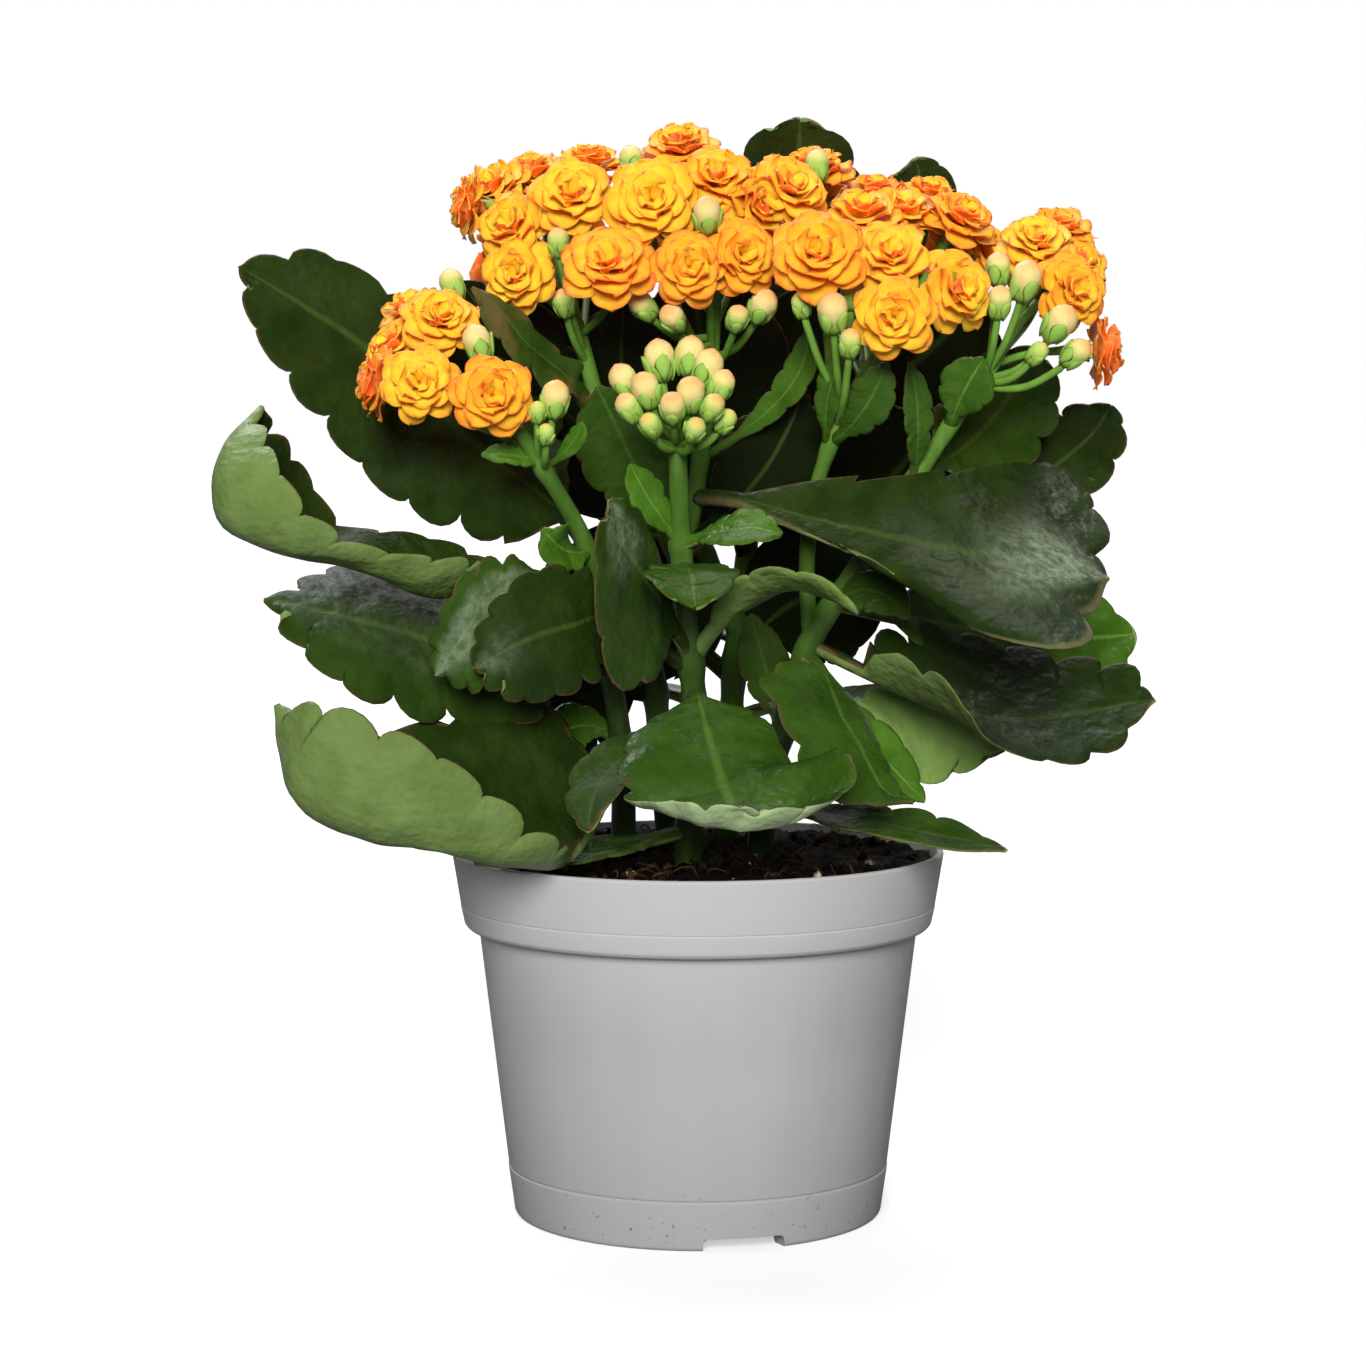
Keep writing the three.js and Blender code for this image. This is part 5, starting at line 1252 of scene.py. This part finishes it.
def make_pot(look):
    """The pot: a thin wall with a band at its rim, a parting line low down, and a foot ring."""
    angles = pot_angles()
    notch = notch_height(angles)
    points, faces, rows = [], [], []
    for radius, z in rounded(pot_profile(), POT_ROUNDING):
        if radius == 0:
            rows.append([len(points)])
            points.append((0, 0, z))
            continue
        foot = z < DRAIN_NOTCH_HEIGHT and radius > FOOT_RADIUS - FOOT_RING_WIDTH - 2
        heights = np.maximum(z, notch) if foot else np.full(len(angles), z)
        rows.append(list(range(len(points), len(points) + len(angles))))
        points += [(radius * math.cos(a), radius * math.sin(a), h) for a, h in zip(angles, heights)]
    for low, high in zip(rows, rows[1:]):
        for j in range(len(angles)):
            k = (j + 1) % len(angles)
            if len(low) == 1:
                faces.append([low[0], high[k], high[j]])
            elif len(high) == 1:
                faces.append([low[j], low[k], high[0]])
            else:
                faces.append([low[j], low[k], high[k], high[j]])
    form = Form()
    form.points, form.faces, form.count = [np.array(points)], faces, len(points)
    pot = form.piece("pot_shell", look, "pot_plastic", ["pot"])
    drills = bpy.data.collections.new("drills")
    for i in range(DRAIN_HOLES):
        turn = i / DRAIN_HOLES * TURN
        x, y = DRAIN_HOLE_CIRCLE * math.cos(turn), DRAIN_HOLE_CIRCLE * math.sin(turn)
        drill = Form()
        path = [(x, y, FLOOR_RAISE + z) for z in (-4, 0, 5)]
        drill.skin(circles(path, [DRAIN_HOLE_RADIUS] * 3, DRAIN_HOLE_SIDES))
        drills.objects.link(bpy.data.objects.new("drill", drill.mesh("drill")))
    cut = pot.modifiers.new("drain holes", "BOOLEAN")
    cut.operand_type, cut.collection, cut.solver = "COLLECTION", drills, "EXACT"
    cut_pot = pot.evaluated_get(bpy.context.evaluated_depsgraph_get())
    mesh = bpy.data.meshes.new_from_object(cut_pot)
    pot.modifiers.clear()
    pot.data = mesh
    for drill in list(drills.objects):
        bpy.data.objects.remove(drill)
    bpy.data.collections.remove(drills)
    shade_smooth(mesh)
    mesh.set_sharp_from_angle(angle=math.radians(SHARP_EDGE))


def soil_height(x, y, share):
    """The soil's height: a low heap with lumps."""
    lumps = np.sin(x * 0.21 + 1.3) * np.cos(y * 0.17 - 0.6) + 0.6 * np.sin(x * 0.43 - y * 0.37)
    return SOIL_TOP + SOIL_HEAP * (1 - share) + SOIL_LUMPS * lumps


def rough(x, y):
    """Crumbly relief made of a few crossed waves."""
    total = np.zeros_like(x)
    for k, (size, height) in enumerate(((7, 0.45), (4.1, 0.4), (2.3, 0.3), (1.3, 0.2))):
        a = 1.1 + 2.4 * k
        u, v = x * math.cos(a) + y * math.sin(a), y * math.cos(a) - x * math.sin(a)
        wave = height * np.sin(u * 6.28 / size + 1.7 * np.sin(v / size))
        total += wave * np.cos(v * 6.28 / size * 0.83 + k)
    return total


def make_soil(look):
    """The soil that fills the pot, with crumbs and root fibres lying on it."""
    band_inner = BAND_RADIUS - WALL
    rise = (SOIL_TOP - BAND_BOTTOM) / (POT_HEIGHT - BAND_BOTTOM)
    top_radius = band_inner + (RIM_RADIUS - BAND_RADIUS) * rise - SOIL_GAP
    angle = angles_round(SOIL_SEGMENTS)
    around = np.stack([np.cos(angle), np.sin(angle)], -1)
    rings = []
    for radius, z in (
        (FOOT_RADIUS - WALL - SOIL_GAP, FLOOR_RAISE + WALL + 0.3),
        (WALL_TOP_RADIUS - WALL - SOIL_GAP - 0.4, BAND_BOTTOM - 1.4),
        (band_inner - SOIL_GAP, BAND_BOTTOM + 3),
    ):
        rings.append(np.column_stack([around * radius, np.full(SOIL_SEGMENTS, float(z))]))
    for share in np.linspace(1, 0.004, SOIL_RINGS) ** 0.9:
        x, y = (around * top_radius * share).T
        z = soil_height(x, y, share) + rough(x, y) * smooth((1 - share) / 0.04 + 0.3)
        rings.append(np.column_stack([x, y, z]))
    bed = Form()
    bed.skin(rings, tone=0)
    bed.piece("soil_bed", look, "soil", ["soil"])

    rng = np.random.default_rng(SOIL_SEED)
    loose = Form()

    def spot(most):
        share, turn = math.sqrt(rng.uniform(0, most)), rng.uniform(0, TURN)
        return share, top_radius * share * math.cos(turn), top_radius * share * math.sin(turn)

    sphere = np.array([
        [(math.sin(t) * math.cos(p), math.sin(t) * math.sin(p), math.cos(t)) for p in angles_round(7)]
        for t in np.linspace(3.0, 0.14, 5)
    ])
    for _ in range(CRUMBS):
        share, x, y = spot(0.98)
        z = float(soil_height(x, y, share))
        size = 0.4 + 1.3 * rng.uniform(0, 1) ** 3
        lump = sphere * (1 + 0.35 * rng.uniform(-1, 1, sphere.shape[:2])[..., None]) * size
        lump = lump * rng.uniform(0.6, 1.3, 3)
        pale = rng.uniform(0, 1)
        tone = 0.9 if pale > 0.975 else 0.35 * rng.uniform(0, 1) ** 2
        loose.skin(lump + (x, y, z + size * 0.25), tone=tone)
    for _ in range(FIBRES):
        share, x, y = spot(0.93)
        heading, length = rng.uniform(0, TURN), rng.uniform(3, 9)
        heading = heading + np.cumsum(rng.uniform(-0.6, 0.6, FIBRE_POINTS))
        px = x + np.cumsum(np.cos(heading)) * length / FIBRE_POINTS
        py = y + np.cumsum(np.sin(heading)) * length / FIBRE_POINTS
        inside = np.minimum(1, top_radius * 0.985 / np.maximum(np.hypot(px, py), 1))
        px, py = px * inside, py * inside
        arch = np.sin(np.linspace(0, 1, FIBRE_POINTS) * math.pi)
        pz = soil_height(px, py, np.hypot(px, py) / top_radius) + 0.9 + 1.1 * arch
        radius = rng.uniform(0.1, 0.24) * np.array([0.5, 1, 1, 1, 0.8, 0.3])
        loose.skin(circles(np.stack([px, py, pz], -1), radius, 5), tone=rng.uniform(0.25, 0.6))
    loose.piece("soil_crumbs", look, "soil")


def make_plants():
    """The leafy stems with their flower heads."""
    leaf, stem, petal, bud = leaf_look(), stem_look(), petal_look(), bud_look()
    kinds = (BROAD_LEAVES, LEAF_THICKNESS, 50), (LEAVES, LEAF_THICKNESS, 100), (BRACTS, BRACT_THICKNESS, 200)
    leaves = [
        (row["on"] if isinstance(row, dict) else row[0], row, thickness, seed + i)
        for rows, thickness, seed in kinds for i, row in enumerate(rows)
    ]
    for plant in dict.fromkeys(s["plant"] for s in STEMS.values()):
        mine = [name for name, s in STEMS.items() if s["plant"] == plant]
        foliage, greens = Form(), Form()
        for on, row, thickness, seed in leaves:
            if on in mine:
                add_leaf(foliage, row, thickness, seed)
        for name in mine:
            add_stem(greens, name)
        for k, (name, head) in enumerate(HEADS.items()):
            if head["on"] not in mine:
                continue
            blooms, buds = Form(), Form()
            add_head(blooms, buds, greens, head, 1000 + 100 * k)
            buds.piece("buds_" + name, bud, "petal")
            if head["blooms"]:
                nodes = [n for n in frame["nodes"] if n.rsplit("_", 1)[0] == "blooms_" + name]
                blooms.piece("blossom_" + name, petal, "petal", nodes)
        foliage.piece("foliage_" + plant, leaf, "leaf", ["greenery_" + plant])
        greens.piece("stems_" + plant, stem, "leaf")


def make_floor():
    """A plain pale floor, a little brighter where the camera sees it."""
    mesh = bpy.data.meshes.new("floor")
    corners = [(-1, -1, 0), (1, -1, 0), (1, 1, 0), (-1, 1, 0)]
    mesh.from_pydata([(x * FLOOR_REACH, y * FLOOR_REACH, z) for x, y, z in corners], [], [(0, 1, 2, 3)])
    look = Look("floor", Specular_IOR_Level=0.0, Emission_Color=(1, 1, 1, 1))
    seen = look.node("LightPath").outputs["Is Camera Ray"]
    look.feed(look.shader.inputs["Emission Strength"], look.times(seen, FLOOR_GLOW))
    colour = look.mix(seen, look.mix(look.noise(400, 2), *FLOOR_GREY), FLOOR_SEEN)
    mesh.materials.append(look.finish(colour, 0.9, look.bump(look.noise(5, 2), 0.02, 0.1)))
    placed("floor", mesh)


def make_light():
    """A white studio: a bright back wall in a dim room, and soft lamps in front, overhead and behind."""
    world = bpy.data.worlds.new("studio")
    bpy.context.scene.world = world
    room = Nodes(world)
    way = room.node("SeparateXYZ", {0: room.node("TexCoord").outputs["Generated"]})
    glow = room.step(way.outputs["Y"], 0.6, 0.98, ROOM_LIGHT, BACK_LIGHT)
    seen = room.node("LightPath").outputs["Is Camera Ray"]
    background = room.tree.nodes["Background"]
    room.feed(background.inputs["Strength"], room.node("Mix", {0: seen, 2: glow, 3: 1}).outputs[0])
    room.feed(background.inputs["Color"], (1, 1, 1, 1))

    for lamp in LAMPS:
        light = bpy.data.lights.new(lamp["name"], "SUN")
        light.energy, light.angle = lamp["strength"], math.radians(lamp["softness"])
        made = placed(lamp["name"], light)
        made.rotation_euler = (math.radians(90 - lamp["height"]), 0, math.radians(-lamp["turn"]))
        made.visible_glossy = lamp["gloss"]
        made.visible_diffuse = lamp.get("diffuse", True)


def make_camera():
    """The photograph's view: a little above the plant's middle, tilted slightly down."""
    camera = bpy.data.cameras.new("camera")
    camera.sensor_width = SENSOR
    camera.lens = FOCAL_PIXELS / PHOTO_WIDTH * SENSOR
    made = placed("camera", camera)
    made.location = CAMERA_PLACE[0] * MM, CAMERA_PLACE[1] * MM, CAMERA_PLACE[2] * MM
    made.rotation_euler = (math.radians(90 - CAMERA_TILT), 0, 0)
    bpy.context.scene.camera = made


make_camera()
make_floor()
make_light()
make_pot(pot_look())
make_soil(soil_look())
make_plants()
bpy.context.scene.view_settings.view_transform = "Standard"
